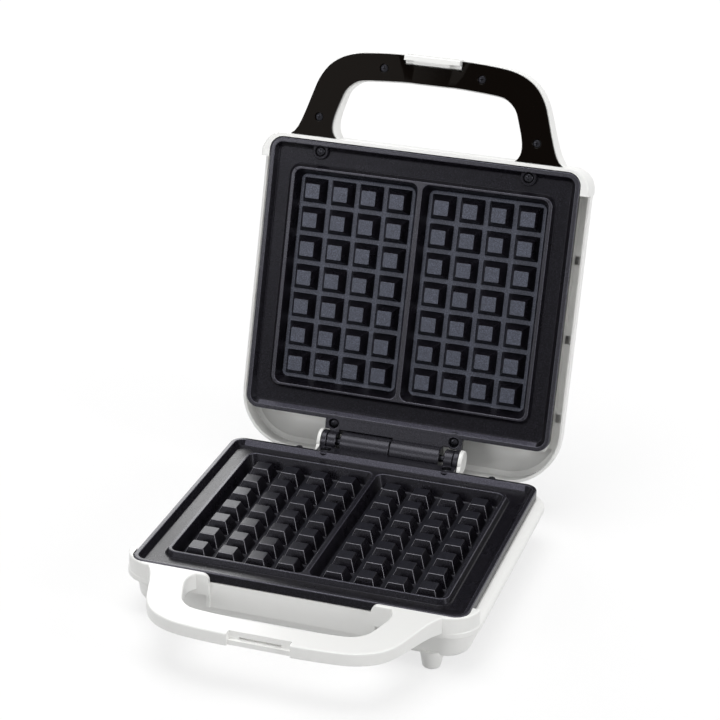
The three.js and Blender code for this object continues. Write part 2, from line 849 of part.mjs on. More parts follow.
// Bottom pan with four moulded feet
const pan_plan = plan_of(
  shell_half_width - pan_inset,
  shell_front - pan_inset,
  base_back - pan_inset,
  base_front_corner,
  base_back_corner,
);
const pan_round_shares = [
  [1, 0],
  [0.4, 0.12],
  [0.1, 0.45],
  [0, 1],
];
function pan_form(inset, low, high) {
  const rings = pan_round_shares.map(([in_share, up_share]) =>
    ring(pan_plan, low + pan_round * up_share, inset + pan_taper + pan_round * in_share),
  );
  return loft(...rings, ring(pan_plan, high, inset));
}
function bottom_pan() {
  const low = -pan_depth;
  const outside = pan_form(0, low, pan_top);
  let made = outside.subtract(pan_form(wall, low + wall, pan_top + overrun));
  for (const [x, y] of foot_places) {
    const sole = -parting_height + pad_thickness - pad_seat;
    made = made
      .add(disc(foot_bottom_radius, sole, low + wall * 2, x, y, round_steps, foot_top_radius))
      .subtract(disc(pad_radius + clearance, sole - overrun, sole + pad_seat + clearance, x, y));
  }
  const seat = low + pan_screw_recess;
  for (const [x, y] of pan_screw_places)
    made = made
      .add(disc(pan_post_radius, low, pan_top, x, y, small_steps).intersect(outside))
      .subtract(disc(screw_head_radius + clearance, low - overrun, seat, x, y))
      .subtract(disc(screw_shank_radius + clearance, seat - overrun, overrun, x, y, small_steps));
  // Pad that carries the terminal block, and the hole for the gland
  const block_x = block_size.x / 2;
  const block_back = block_y + block_size.y / 2;
  made = made.add(
    box(-block_x, block_x, block_back - block_size.y, block_back, low + wall / 2, low + wall + block_pad),
  );
  return made.subtract(gland_hole());
}

// Gland for the cord, in the back of the pan
const gland_outer = base_back - pan_inset + clearance;
const gland_inner = base_back - pan_inset - wall - pan_taper - pan_round / 3;
function about_gland(points) {
  const profile = points.map(([r, y]) => new THREE.Vector2(r, y));
  const geometry = new THREE.LatheGeometry(profile, round_steps);
  geometry.translate(-gland_x, 0, -gland_depth);
  return solid(geometry);
}
function gland_hole() {
  const neck = gland_neck + clearance;
  return about_gland([
    [0, gland_inner - wall],
    [neck, gland_inner - wall],
    [neck, gland_outer + wall],
    [0, gland_outer + wall],
  ]);
}
function cord_gland() {
  const inner_end = gland_inner - gland_flange_width;
  return about_gland([
    [gland_bore, inner_end],
    [gland_flange, inner_end],
    [gland_flange, gland_inner],
    [gland_neck, gland_inner],
    [gland_neck, gland_outer],
    [gland_flange, gland_outer],
    [gland_flange, gland_outer + gland_flange_width],
    [gland_neck, gland_outer + gland_tail],
    [gland_bore, gland_outer + gland_tail],
    [gland_bore, inner_end],
  ]);
}

// Lid: a domed shell that reaches back over the hinge
const lid_round_shares = [
  [3.2, 0, 0],
  [1.3, 0.6, 0],
  [0.62, 1, 0.09],
  [0.28, 1, 0.3],
  [0.08, 1, 0.62],
  [0, 1, 1],
];
const lid_form = (inset) =>
  lid_round_shares.map(([in_share, crown_share, up_share]) =>
    ring(
      lid_plan,
      -lid_depth + inset + lid_crown * crown_share + lid_round * up_share,
      inset + lid_round * in_share,
    ),
  );
function lid_housing() {
  const outside = loft(
    ...lid_form(0),
    ring(lid_plan, shoulder_level),
    ring(lid_plan, shoulder_level, wall),
    ring(lid_plan, trough_level, wall),
    ring(lid_plan, trough_level, shoulder_run),
    ring(lid_plan, seat_level, shoulder_run),
  );
  let made = outside.subtract(
    loft(
      ...lid_form(wall).slice(0, -1),
      ring(lid_plan, trough_level - wall, wall),
      ring(lid_plan, trough_level - wall, ledge_inset),
      ring(lid_plan, overrun, ledge_inset),
    ),
  );
  // Behind the plate the shell is open, with its edge and trough left standing
  const rear = behind(plate_half_depth + plate_fit);
  made = made.subtract(
    loft(
      ring(lid_plan, trough_level - wall * 2, shoulder_run),
      ring(lid_plan, overrun, shoulder_run),
    ).intersect(rear),
  );
  made = made.add(front_rim(lid_plan, trough_level - wall / 2, 0));
  made = made.add(
    box(
      -handle_root,
      handle_root,
      -shell_front,
      -plate_half_depth - plate_fit,
      trough_level - wall,
      -bumper_below_parting,
    ),
  );
  for (const side of both_sides)
    for (let i = 0; i < vents_per_side; i++) {
      const y = vent_middle_y + (i - (vents_per_side - 1) / 2) * vent_pitch;
      const near = side * (plate_half_width + plate_fit - wall);
      const end = side * (shell_half_width - wall);
      const half = vent_length / 2;
      made = made.subtract(box(near, end, y - half, y + half, trough_level - wall * 2, overrun));
    }

  const body_top = -bumper_below_parting - liner_thickness - clearance;
  made = made.add(
    handle(body_top, lid_bar_thickness, lid_arm_thickness).subtract(latch_pocket(wall)),
  );
  made = made.subtract(
    holes(liner_screw_places, liner_screw_shank, -liner_screw_length - wall, body_top + overrun),
  );
  const pin_reach = latch_pin_half + clearance;
  made = made.subtract(
    bar(latch_pin_radius + clearance, -pin_reach, pin_reach, latch_pin_y, -latch_pin_depth, small_steps),
  );

  const places = [...rear_screw_places, ...front_screw_places];
  made = made.add(plate_posts(places, -lid_depth).intersect(outside));
  made = made.subtract(
    holes(places, screw_shank_radius, -plate_screw_length - wall, seat_level + overrun),
  );

  // Posts for the lamp board and windows for the lenses
  const post_top = board_level - clearance;
  for (const side of both_sides) {
    const post = disc(board_post_radius, -lid_depth, post_top, side * board_post_x, -lens_y, small_steps);
    made = made
      .add(post.intersect(outside))
      .subtract(
        disc(lens_radius + clearance, lens_low - overrun, lens_low + lens_height, side * lens_x, -lens_y),
      );
  }
  return made;
}

// Pocket in the lid's handle where the latch hangs
function latch_pocket(high) {
  const half = latch_width / 2 + latch_gap;
  const back = latch_front + latch_head + latch_gap;
  const low = -latch_pin_depth - latch_head / 2 - latch_gap;
  return box(-half, half, bar_end - overrun, back, low, high);
}
// Black liner on the face of the lid's handle
function handle_liner() {
  const high = -bumper_below_parting;
  const low = high - liner_thickness;
  const seat = high - liner_screw_sunk - liner_screw_head_height - clearance;
  let made = extruded(arch(-shell_front - clearance, liner_inset), low, high, liner_round);
  made = made.subtract(latch_pocket(overrun));
  made = made.subtract(holes(liner_screw_places, liner_screw_shank, low - overrun, overrun));
  for (const [x, y] of liner_screw_places)
    made = made.subtract(disc(liner_screw_head + clearance, seat, overrun, x, y));
  return made;
}
// Latch: a block on the pin and a blade with a catch, which reaches past the parting plane
function latch() {
  const half = latch_width / 2;
  const catch_half = latch_catch_width / 2;
  const blade_back = latch_front + latch_blade;
  const head_back = latch_front + latch_head;
  const nose = latch_blade / 4;
  const block = [
    [latch_front, -latch_pin_depth],
    [head_back, -latch_pin_depth],
    [head_back, -latch_head_below],
    [blade_back, -latch_head_below],
    [blade_back, latch_reach],
    [latch_front + nose, latch_reach],
    [latch_front, latch_reach - nose],
  ];
  const catch_back = blade_back + latch_catch_reach;
  const tooth = [
    [blade_back - nose, latch_reach - latch_catch_height],
    [catch_back, latch_reach - latch_catch_height],
    [catch_back, latch_reach - latch_catch_height / 2],
    [blade_back, latch_reach],
    [blade_back - nose, latch_reach],
  ];
  const eye_end = half + overrun;
  return across(block, -half, half)
    .add(bar(latch_head / 2, -half, half, latch_pin_y, -latch_pin_depth))
    .add(across(tooth, -catch_half, catch_half))
    .subtract(
      bar(latch_pin_radius + clearance, -eye_end, eye_end, latch_pin_y, -latch_pin_depth, small_steps),
    );
}

// Inner pieces, the same under both plates
function reflector_tray() {
  const high = underside_level - clearance;
  const low = high - tray_depth;
  const plan = rectangle(tray_half_width, tray_half_depth, tray_corner);
  const leg = heater_leg_x + heater_radius * 2;
  const front_end = -tray_half_depth + tray_draft * 2;
  return loft(ring(plan, low, tray_draft), ring(plan, high))
    .subtract(
      loft(
        ring(plan, low + tray_sheet, tray_draft + tray_sheet),
        ring(plan, high, tray_sheet),
        ring(plan, high + overrun, tray_sheet),
      ),
    )
    .subtract(box(-leg, leg, -farthest, front_end, low + tray_sheet * 2, high + overrun));
}
function thermostat() {
  const top = underside_level - clearance;
  return turned(
    [
      [0, top - thermostat_height],
      [thermostat_radius, top - thermostat_height],
      [thermostat_radius, top - thermostat_flange_height],
      [thermostat_flange, top - thermostat_flange_height],
      [thermostat_flange, top],
      [0, top],
    ],
    0,
    thermostat_y,
  );
}
function thermal_fuse() {
  const z = underside_level - clearance - fuse_radius;
  return bar(fuse_radius, -fuse_length / 2, fuse_length / 2, -fuse_y, z, small_steps);
}
const terminals = 3;
function terminal_block() {
  const low = -pan_depth + wall + block_pad + clearance;
  const high = low + block_size.z;
  const half = block_size.y / 2;
  const x = block_size.x / 2;
  let made = box(-x, x, block_y - half, block_y + half, low, high);
  for (let i = 0; i < terminals; i++) {
    const middle = ((i - (terminals - 1) / 2) * block_size.x) / terminals;
    made = made.subtract(
      disc(screw_shank_radius, low + block_size.z / 2, high + overrun, middle, block_y, small_steps),
    );
  }
  return made;
}

// Assembly
const placed = (mesh, x, y, z) => {
  mesh.position.set(x, y, z);
  return mesh;
};

const base = new THREE.Group();
base.position.z = parting_height;
base.add(
  named("base_housing", base_housing(), white_plastic),
  named("bottom_pan", bottom_pan(), white_plastic),
  named("lower_plate", cast_plate(false), coated_cast),
  named("lower_heater", heater_run(heater_radius), dark_steel),
  named("lower_reflector", reflector_tray(), bright_steel),
  named("lower_thermostat", thermostat(), ceramic),
  named("thermal_fuse", thermal_fuse(), ceramic),
  named("terminal_block", terminal_block(), brown_resin),
  named("cord_gland", cord_gland(), grey_rubber),
  named(
    "hinge_pin",
    bar(pin_radius, -ear_offset - ear_width + clearance, pin_end, pin_y, 0),
    dark_steel,
  ),
);
const corner_names = ["left_front", "left_rear", "right_front", "right_rear"];
foot_places.forEach(([x, y], i) => {
  const edge = pad_thickness / 4;
  const pad = turned([
    [0, 0],
    [pad_radius - edge, 0],
    [pad_radius, edge],
    [pad_radius, pad_thickness],
    [0, pad_thickness],
  ]);
  base.add(placed(named(`foot_pad_${corner_names[i]}`, pad, grey_rubber), x, y, -parting_height));
});
pan_screw_places.forEach(([x, y], i) => {
  const made = screw(screw_head_radius, screw_head_height, screw_shank_radius, pan_screw_length);
  const mesh = named(`pan_screw_${corner_names[i]}`, made, bright_steel);
  mesh.rotation.x = Math.PI;
  const seat = -pan_depth + pan_screw_recess;
  base.add(placed(mesh, x, y, seat - clearance - screw_head_height));
});
const side_names = ["left", "right"];
rear_screw_places.forEach(([x, y], i) => {
  const mesh = named(`lower_plate_screw_${side_names[i]}`, plate_screw(), dark_steel);
  base.add(placed(mesh, x, y, plate_screw_top));
});

// The lid's half is turned over, so its left and right change places
const lid_half = new THREE.Group();
lid_half.position.y = -pin_y;
lid_half.rotation.y = Math.PI;
lid_half.add(
  named("lid_housing", lid_housing(), white_plastic),
  named("upper_plate", cast_plate(true), coated_cast),
  named("upper_heater", heater_run(heater_radius), dark_steel),
  named("upper_reflector", reflector_tray(), bright_steel),
  named("upper_thermostat", thermostat(), ceramic),
  named("handle_liner", handle_liner(), black_gloss),
  named("latch", latch(), white_plastic),
  named(
    "latch_pin",
    bar(latch_pin_radius, -latch_pin_half, latch_pin_half, latch_pin_y, -latch_pin_depth, small_steps),
    bright_steel,
  ),
);
const turned_names = ["right", "left"];
rear_screw_places.forEach(([x, y], i) => {
  const mesh = named(`upper_plate_screw_rear_${turned_names[i]}`, plate_screw(), dark_steel);
  lid_half.add(placed(mesh, x, y, plate_screw_top));
});
front_screw_places.forEach(([x, y], i) => {
  const mesh = named(`upper_plate_screw_front_${turned_names[i]}`, plate_screw(), dark_steel);
  lid_half.add(placed(mesh, x, y, plate_screw_top));
});
const liner_screw_names = ["right_root", "right_bar", "left_root", "left_bar"];
liner_screw_places.forEach(([x, y], i) => {
  const made = screw(
    liner_screw_head,
    liner_screw_head_height,
    liner_screw_shank,
    liner_screw_length,
  );
  const mesh = named(`liner_screw_${liner_screw_names[i]}`, made, dark_steel);
  lid_half.add(placed(mesh, x, y, -bumper_below_parting - liner_screw_sunk));
});
const lenses = [
  ["power_lamp_lens", amber_lens],
  ["ready_lamp_lens", green_lens],
];
lenses.forEach(([name, colour], i) => {
  const made = turned([
    [0, 0],
    [lens_radius - lens_proud, 0],
    [lens_radius, lens_proud],
    [lens_radius, lens_height],
    [0, lens_height],
  ]);
  lid_half.add(placed(named(name, made, colour), both_sides[i] * lens_x, -lens_y, lens_low));
});
const board = box(
  -board_size.x / 2,
  board_size.x / 2,
  -board_size.y / 2,
  board_size.y / 2,
  0,
  board_size.z,
);
lid_half.add(placed(named("lamp_board", board, brown_resin), 0, -lens_y, board_level));

const lid = new THREE.Group();
lid.position.set(0, pin_y, parting_height);
lid.rotation.x = -lid_opening;
lid.add(lid_half);

// The origin is under the middle of the whole part, on the table
const standing = new THREE.Group();
standing.add(base, lid);
const bounds = new THREE.Box3().setFromObject(standing, true);
const middle = bounds.getCenter(new THREE.Vector3());
standing.position.set(-middle.x, -middle.y, -bounds.min.z);

const waffle_maker = new THREE.Group();
waffle_maker.name = "belgian_waffle_maker";
waffle_maker.add(standing);
export default waffle_maker;
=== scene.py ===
"""The belgian waffle maker's looks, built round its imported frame.

Every moulding is drawn in millimetres as a lower half: X across, Y back from the middle
of its plate, Z down from zero at the parting plane. A matrix then stands it in the base,
or turns it over and swings it open as a part of the lid.
"""

import json
import math

import bpy
from mathutils import Matrix, Vector


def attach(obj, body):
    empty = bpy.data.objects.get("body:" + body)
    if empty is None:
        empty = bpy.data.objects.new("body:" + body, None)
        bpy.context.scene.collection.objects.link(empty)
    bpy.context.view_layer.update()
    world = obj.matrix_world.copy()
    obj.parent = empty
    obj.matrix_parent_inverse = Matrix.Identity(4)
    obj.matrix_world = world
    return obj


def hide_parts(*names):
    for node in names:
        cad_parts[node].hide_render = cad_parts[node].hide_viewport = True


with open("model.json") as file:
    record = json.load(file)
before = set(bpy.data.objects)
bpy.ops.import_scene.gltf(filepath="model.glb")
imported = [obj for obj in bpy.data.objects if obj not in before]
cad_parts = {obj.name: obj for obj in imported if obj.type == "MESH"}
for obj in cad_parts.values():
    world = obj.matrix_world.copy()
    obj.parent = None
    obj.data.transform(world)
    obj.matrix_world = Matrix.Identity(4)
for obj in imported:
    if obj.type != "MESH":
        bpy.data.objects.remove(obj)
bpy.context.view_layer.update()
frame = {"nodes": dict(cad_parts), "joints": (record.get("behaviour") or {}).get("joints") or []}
scene = bpy.context.scene
scene.view_settings.view_transform = "Standard"
MM = 0.001

# Where the two halves meet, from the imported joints
JOINTS = {joint["name"]: joint for joint in frame["joints"]}
HINGE = Vector(JOINTS["lid_hinge"]["pos_m"])
LID_OPENING = math.radians(105)

# Between pieces
CLEARANCE = 0.3
PLATE_FIT = 0.7  # round the plate's edge
LATCH_GAP = 0.7  # round the latch
BARREL_GAP = 0.5  # between the two barrels
BARREL_ROOM = 0.5  # between a barrel and the lip that follows it
OVERRUN = 1  # how far a cut runs past a face
SKIN = 0.02  # keeps apart two faces that would be flush
BEYOND = 200  # further out than the whole part
BELOW = -60
ABOVE = 10

# Levels, from the parting plane down
RIM_LEVEL = -0.3
BUMPER_TOP = -0.5
DAM_LEVEL = -0.7
STUD_LEVEL = -1.8
BAND_LEVEL = -4.8
SKIRT_LEVEL = -7.4
SEAT_LEVEL = -7.7  # what a plate's skirt rests on
FLOOR_LEVEL = -11.0
SHOULDER_LEVEL = -12.5
PAN_TOP = -14.5
UNDERSIDE_LEVEL = -15.0
BAND_BOTTOM = -16.5
PARTING_HEIGHT = 46.8  # from the table to the parting plane

# Studs
STUD_ROWS = 7
STUD_COLUMNS = 4  # in each of the two cavities
STUD_PITCH = 22.35
STUD_TOP = 11.2
STUD_BASE = 18.6
STUD_MARGIN = 3.2  # floor left round the outermost studs

# Cavities
FLOOR_NEAR = 5.1  # from the middle to where the floor starts
FLOOR_FAR = 97.15
FLOOR_HALF_DEPTH = 79.55
CREST_NEAR = 1.7  # half of the divider's crest
CAVITY_HALF_WIDTH = 99.75
CAVITY_HALF_DEPTH = 83.35
CAVITY_CORNER = 5.4

# Dam and rim
DAM_HALF_WIDTH = 104.45
DAM_HALF_DEPTH = 87.05
DAM_CORNER = 9
DAM_SLOPE = 2.3
PLATE_HALF_WIDTH = 121.05
PLATE_HALF_DEPTH = 105.55
PLATE_CORNER = 10
RIM_FLAT = 3.2
RIM_SLOPE = 3.2

# Hinge
PIN_Y = 122.65
PIN_RADIUS = 3
PIN_EDGE = 0.5
PIN_ENDS = -57.7, 56.05
SHELF_BACK = 113.15
SHELF_THICKNESS = 4.5
BARREL_RADIUS = 9
BARREL_LENGTH = 39.2
EYE_RADIUS = 8
EYE_OFFSET = 43.2  # from the middle to an eye's inner face
EYE_WIDTH = 7
CHEEK_RADIUS = 8.6
CHEEK_OFFSET = 50.7
CHEEK_WIDTH = 3.9
EAR_RADIUS = 9
EAR_OFFSET = 55
EAR_WIDTH = 3
EAR_ROUND = 2.4
LIP_THICKNESS = 1.8

# Bosses of the plates
REAR_BOSS_X = 48
REAR_BOSS_Y = 108.85
BOSS_RADIUS = 5.6
BOSS_NOSE_RADIUS = 4.6
BOSS_NOSE_FORWARD = 3.4  # the nose swells out over the band
BOSS_SEAT_DEPTH = 3.6  # from the rim to the seat under a screw's head
FRONT_BOSS_X = 81.5
FRONT_BOSS_Y = -97.95
FRONT_BOSS_RADIUS = 6.3
FRONT_BOSS_DROP = 1.5
LUG_RADIUS = 2.8
LUG_X = (-69, 84)
LUG_Y = 106.65

# Shells
SHELL_HALF_WIDTH = 128.05
SHELL_FRONT = 109.05
WALL = 2.4
BASE_BACK = 113.05
BASE_FRONT_CORNER = 22
BASE_BACK_CORNER = 20
LID_BACK = 136.05
SHELL_CORNER = 16
LID_BACK_CORNER = 42
LEDGE_INSET = 8.7
SHOULDER_RUN = 6.3
BUMPER_INSET = 0.7
BUMPER_SIDE_LENGTH = 16  # how far a bumper wraps down the side
BUMPER_INNER_X = 58.5
BUMPER_ROUND = 5
RIM_EDGE = 1.3
OPENING_DEPTH = 21
RECESS_HALF_WIDTH = 58.5  # of the band's front, behind the finger gap
RECESS_Y = -105.85
RECESS_MIDDLE = -2.5
RECESS_BOTTOM = -27

# Pan and feet
PAN_INSET = 3.6
PAN_DEPTH = 37
PAN_CURVE = 9  # height and reach of the curve round its bottom
PAN_LEAN = 3
FOOT_TOP_RADIUS = 8.2
FOOT_BOTTOM_RADIUS = 6.3
FOOT_PLACES = [(-96.5, -96), (-96.5, 98), (96.5, -96), (96.5, 98)]
PAD_RADIUS = 4.9
PAD_HEIGHT = 1.6
PAD_SEAT = 0.8  # how deep a pad is set into its foot
PAN_SCREW_PLACES = [(-111.85, -84), (-111.85, 88), (111.85, -84), (111.85, 88)]
PAN_SCREW_RECESS = 7
GLAND_PLACE = (-88, 0, -22.6)
GLAND_HOLE_RADIUS = 4.2
CORD_BORE_RADIUS = 3

# Screws as head radius, head height, shank radius and length
PLATE_SCREW = (3.5, 2.2, 1.9, 11)
PAN_SCREW = (3.5, 2.2, 1.9, 15)
LINER_SCREW = (2.9, 1.3, 1.5, 9)
THREAD_PITCH = 0.7
THREAD_DEPTH = 0.25
HEAD_BEND = 0.55  # share of a head's height at which its crown starts

# Lid
LID_DEPTH = 39
LID_ROUND = 16
LID_CROWN = 3
LID_LEDGE = 11
TROUGH_LEVEL = SHOULDER_LEVEL - 11
TROUGH_INNER = 8.6
VENT_LENGTH = 6.5
VENT_PLACES = (-39.3, 21.5, 82.3)
LAMP_X = 16
LAMP_Y = -78
LAMP_HOLE_RADIUS = 4.5

# Handles
HANDLE_ROOT = 107.2  # half the width across the roots, outside
HANDLE_INNER_ROOT = 69  # and inside
HANDLE_REACH = 69.5
HANDLE_INNER_REACH = 47.5
HANDLE_OVERLAP = 2  # how far the arms run into the shell
HANDLE_EDGE = 1.3
ARM_TAPER = 36  # length over which the arms thin down
BAR_END = -SHELL_FRONT - HANDLE_REACH
BASE_BAR = 9.6
BASE_ARM = 13
LID_BAR = 14
LID_ARM = 19
LINER_THICKNESS = 2.6
LINER_INSET = 1
LINER_EDGE = 0.45
LINER_SCREWS = [(-85, -123.95), (-38, -166.05), (85, -123.95), (38, -166.05)]

# Shares of the handle's half width and reach, from a root to the middle of the bar
HANDLE_OUTER = [
    (1, 0), (0.962, 0.062), (0.934, 0.15), (0.9, 0.3), (0.862, 0.49), (0.828, 0.64),
    (0.766, 0.79), (0.684, 0.89), (0.58, 0.953), (0.45, 0.982), (0.25, 1), (0, 1),
]
HANDLE_INNER = [
    (1, 0), (1.045, 0.085), (1.06, 0.2), (1.045, 0.36), (0.99, 0.62), (0.95, 0.77),
    (0.88, 0.88), (0.79, 0.945), (0.6, 0.975), (0.3, 1), (0.15, 1), (0, 1),
]

# Latch
LATCH_WIDTH = 43
LATCH_BLADE = 4  # its thickness at the catch
LATCH_HEAD = 6.6  # and at the pin
LATCH_REACH = 5.9  # past the parting plane
LATCH_FRONT = BAR_END + 0.4
LATCH_PIN_DEPTH = 8.5
LATCH_PIN_BORE = 1.8
CATCH_WIDTH = 28
CATCH_REACH = 2.4
CATCH_HEIGHT = 1.1
CATCH_CHAMFER = 0.9
NOTCH_FLOOR = -6.6
POCKET_TOP = 3
POCKET_FRONT = BAR_END - 3

# Fineness
EDGE_STEPS = 4  # in one softened edge
CORNER_STEPS = 10  # in a corner of a plan
SMALL_STEPS = 24
SCREW_STEPS = 32
FOOT_STEPS = 36
ROUND_STEPS = 48
HANDLE_STEPS = 72
LEAST_CORNER = 0.35  # share of a corner's radius that an inset leaves
LONGEST_EDGE = 0.49  # share of a side that a softened edge may take
SHARP_EDGE = math.radians(32)


# Drawing solids
def made_solid(points, faces):
    """A hidden working solid, in millimetres."""
    mesh = bpy.data.meshes.new("working")
    mesh.from_pydata([tuple(p) for p in points], [], faces)
    solid = bpy.data.objects.new("working", mesh)
    scene.collection.objects.link(solid)
    return solid


def plan_of(half_width, front, back, front_corner, back_corner):
    """The plan of a shell, whose front and back differ."""
    return half_width, front, back, front_corner, back_corner


def rectangle(half_width, half_depth, corner):
    return plan_of(half_width, half_depth, half_depth, corner, corner)


def ring(plan, z, inset=0.0, x=0.0, y=0.0, steps=CORNER_STEPS):
    """A plan's rounded rectangle at one height, drawn in by inset."""
    half_width, front, back, front_corner, back_corner = plan
    corners = (
        (1, -1, -90, front_corner, front),
        (1, 1, 0, back_corner, back),
        (-1, 1, 90, back_corner, back),
        (-1, -1, 180, front_corner, front),
    )
    points = []
    for side, end, start, corner, reach in corners:
        radius = max(corner - inset, corner * LEAST_CORNER)
        middle_x = side * (half_width - inset - radius) + x
        middle_y = end * (reach - inset - radius) + y
        for i in range(steps + 1):
            angle = math.radians(start + 90 * i / steps)
            points.append(
                (middle_x + radius * math.cos(angle), middle_y + radius * math.sin(angle), z)
            )
    return points


def loft(rings):
    """A closed solid through a stack of rings with the same number of points."""
    count = len(rings[0])
    faces = [tuple(reversed(range(count)))]
    for k in range(len(rings) - 1):
        for i in range(count):
            a, b = k * count + i, k * count + (i + 1) % count
            faces.append((a, b, b + count, a + count))
    faces.append(tuple(range((len(rings) - 1) * count, len(rings) * count)))
    return made_solid([p for one in rings for p in one], faces)


def softened(profile, steps=EDGE_STEPS):
    """A line of (across, height, radius) with each corner rounded to its radius."""
    line = []
    for i, (u, z, radius) in enumerate(profile):
        here = Vector((u, z))
        if not radius or i in (0, len(profile) - 1):
            line.append(here)
            continue
        before = Vector(profile[i - 1][:2]) - here
        after = Vector(profile[i + 1][:2]) - here
        half = before.angle(after) / 2
        run = min(
            radius / math.tan(half), before.length * LONGEST_EDGE, after.length * LONGEST_EDGE
        )
        start, end = here + before.normalized() * run, here + after.normalized() * run
        for k in range(steps + 1):
            t = k / steps
            line.append(start * (1 - t) ** 2 + here * 2 * t * (1 - t) + end * t**2)
    return line


def stacked(plan, line):
    """A loft of one plan along a line of (inset, height)."""
    return loft([ring(plan, z, inset) for inset, z in line])


def moulded(plan, profile):
    """A loft of one plan along a softened profile."""
    return stacked(plan, softened(profile))


def box(x0, x1, y0, y1, z0, z1):
    points = [(x, y, z) for z in (z0, z1) for y in (y0, y1) for x in (x0, x1)]
    faces = [(0, 2, 3, 1), (4, 5, 7, 6), (0, 1, 5, 4), (2, 6, 7, 3), (0, 4, 6, 2), (1, 3, 7, 5)]
    return made_solid(points, faces)


def turned(profile, place, along="Z", steps=ROUND_STEPS):
    """A (radius, height) profile, from low to high, turned about a line along an axis."""
    rings = []
    for radius, height in profile:
        one = []
        for i in range(steps):
            angle = 2 * math.pi * i / steps
            a, b = radius * math.cos(angle), radius * math.sin(angle)
            point = {"Z": (a, b, height), "X": (height, a, b), "Y": (b, height, a)}[along]
            one.append(Vector(point) + Vector(place))
        rings.append(one)
    return loft(rings)


def bar(radius, x0, x1, y, z, edge=0.0, steps=ROUND_STEPS):
    """A round bar along X, with softened ends if it has an edge."""
    profile = [(radius, x0), (radius, x1)]
    if edge:
        profile = [
            (radius - edge, x0), (radius, x0 + edge), (radius, x1 - edge), (radius - edge, x1),
        ]
    return turned(profile, (0, y, z), "X", steps)


def disc(radius, low, high, x, y, steps=SMALL_STEPS):
    return turned([(radius, low), (radius, high)], (x, y, 0), "Z", steps)


def drawn_out(outline, place):
    """A solid between two copies of a flat outline; place gives a point of either copy."""
    count = len(outline)
    points = [place(end, p) for end in (0, 1) for p in outline]
    faces = [tuple(reversed(range(count))), tuple(range(count, 2 * count))]
    faces += [(i, (i + 1) % count, (i + 1) % count + count, i + count) for i in range(count)]
    return made_solid(points, faces)


def across(outline, x0, x1):
    """An outline of (y, z) points, drawn out along X."""
    return drawn_out(outline, lambda end, p: ((x0, x1)[end], *p))


def combined(target, *steps, solver="MANIFOLD"):
    """Applies union, cut and common steps to a working solid, in order."""
    kinds = {"add": "UNION", "cut": "DIFFERENCE", "keep": "INTERSECT"}
    tools = []
    for kind, tool in steps:
        modifier = target.modifiers.new(kind, "BOOLEAN")
        modifier.operation, modifier.solver, modifier.object = kinds[kind], solver, tool
        tools.append(tool)
    depsgraph = bpy.context.evaluated_depsgraph_get()
    mesh = bpy.data.meshes.new_from_object(target.evaluated_get(depsgraph))
    target.modifiers.clear()
    target.data = mesh
    for tool in tools:
        bpy.data.objects.remove(tool)
    return target


def joined(solids):
    """One working solid that holds several that don't touch."""
    points, faces = [], []
    for solid in solids:
        shift = len(points)
        points += [v.co.copy() for v in solid.data.vertices]
        faces += [tuple(i + shift for i in p.vertices) for p in solid.data.polygons]
        bpy.data.objects.remove(solid)
    return made_solid(points, faces)


# Where pieces stand
BASE_PLACE = Matrix.Translation(HINGE - Vector((0, PIN_Y * MM, 0))) @ Matrix.Scale(MM, 4)
LID_PLACE = (
    Matrix.Translation(HINGE)
    @ Matrix.Rotation(-LID_OPENING, 4, "X")
    @ Matrix.Translation((0, -PIN_Y * MM, 0))
    @ Matrix.Rotation(math.pi, 4, "Y")
    @ Matrix.Scale(MM, 4)
)
PLACES = {"base": BASE_PLACE, "lid": LID_PLACE, "latch": LID_PLACE}


def finished(name, solid, body, slot, replaces, materials=None, zones=None):
    """Names a working solid, stands it in its place and lets it ride on its body. A solid of
    more than one material has them shared out over its faces by zones."""
    mesh = solid.data
    mesh.name = solid.name = name
    mesh.materials.clear()
    for material in materials or FINISHES[slot]:
        mesh.materials.append(material)
    for face in mesh.polygons:
        face.material_index = zones(face.center, face.normal) if zones else 0
    mesh.transform(PLACES[body])
    mesh.update()
    for face in mesh.polygons:
        face.use_smooth = True
    mesh.set_sharp_from_angle(angle=SHARP_EDGE)
    normals = solid.modifiers.new("flat faces stay flat", "WEIGHTED_NORMAL")
    normals.keep_sharp = True
    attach(solid, body)
    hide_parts(replaces)


# Materials
def linear(hex_colour):
    """An sRGB hex colour as linear RGBA."""
    parts = [int(hex_colour[i : i + 2], 16) / 255 for i in (1, 3, 5)]
    return [c / 12.92 if c <= 0.04045 else ((c + 0.055) / 1.055) ** 2.4 for c in parts] + [1]


def add_node(tree, kind, settings=None, **links):
    """Adds one node; links maps its inputs, by name or _ and number, to sockets or values."""
    node = tree.nodes.new(kind)
    for key, value in (settings or {}).items():
        setattr(node, key, value)
    for key, value in links.items():
        socket = node.inputs[int(key[1:])] if key[1:].isdigit() else node.inputs[key]
        if isinstance(value, bpy.types.NodeSocket):
            tree.links.new(value, socket)
        else:
            socket.default_value = value
    return node


def surface(name, **values):
    """A new material and its shader, with the sockets given as Name=value."""
    material = bpy.data.materials.new(name)
    material.use_nodes = True
    shader = material.node_tree.nodes["Principled BSDF"]
    for key, value in values.items():
        shader.inputs[key.replace("_", " ")].default_value = value
    return material, material.node_tree, shader


def noise(tree, size_mm, detail, **values):
    """Cloudy noise from 0 to 1, in spots of about one size."""
    place = add_node(tree, "ShaderNodeTexCoord").outputs["Object"]
    scale = 1 / (size_mm * MM)
    cloud = add_node(
        tree, "ShaderNodeTexNoise", Vector=place, Scale=scale, Detail=detail, **values
    )
    return cloud.outputs["Fac"]


def uneven_gloss(tree, shader, cloud, low, high):
    """Lets the roughness wander between two values."""
    gloss = add_node(tree, "ShaderNodeMapRange", Value=cloud, _3=low, _4=high)
    tree.links.new(gloss.outputs["Result"], shader.inputs["Roughness"])


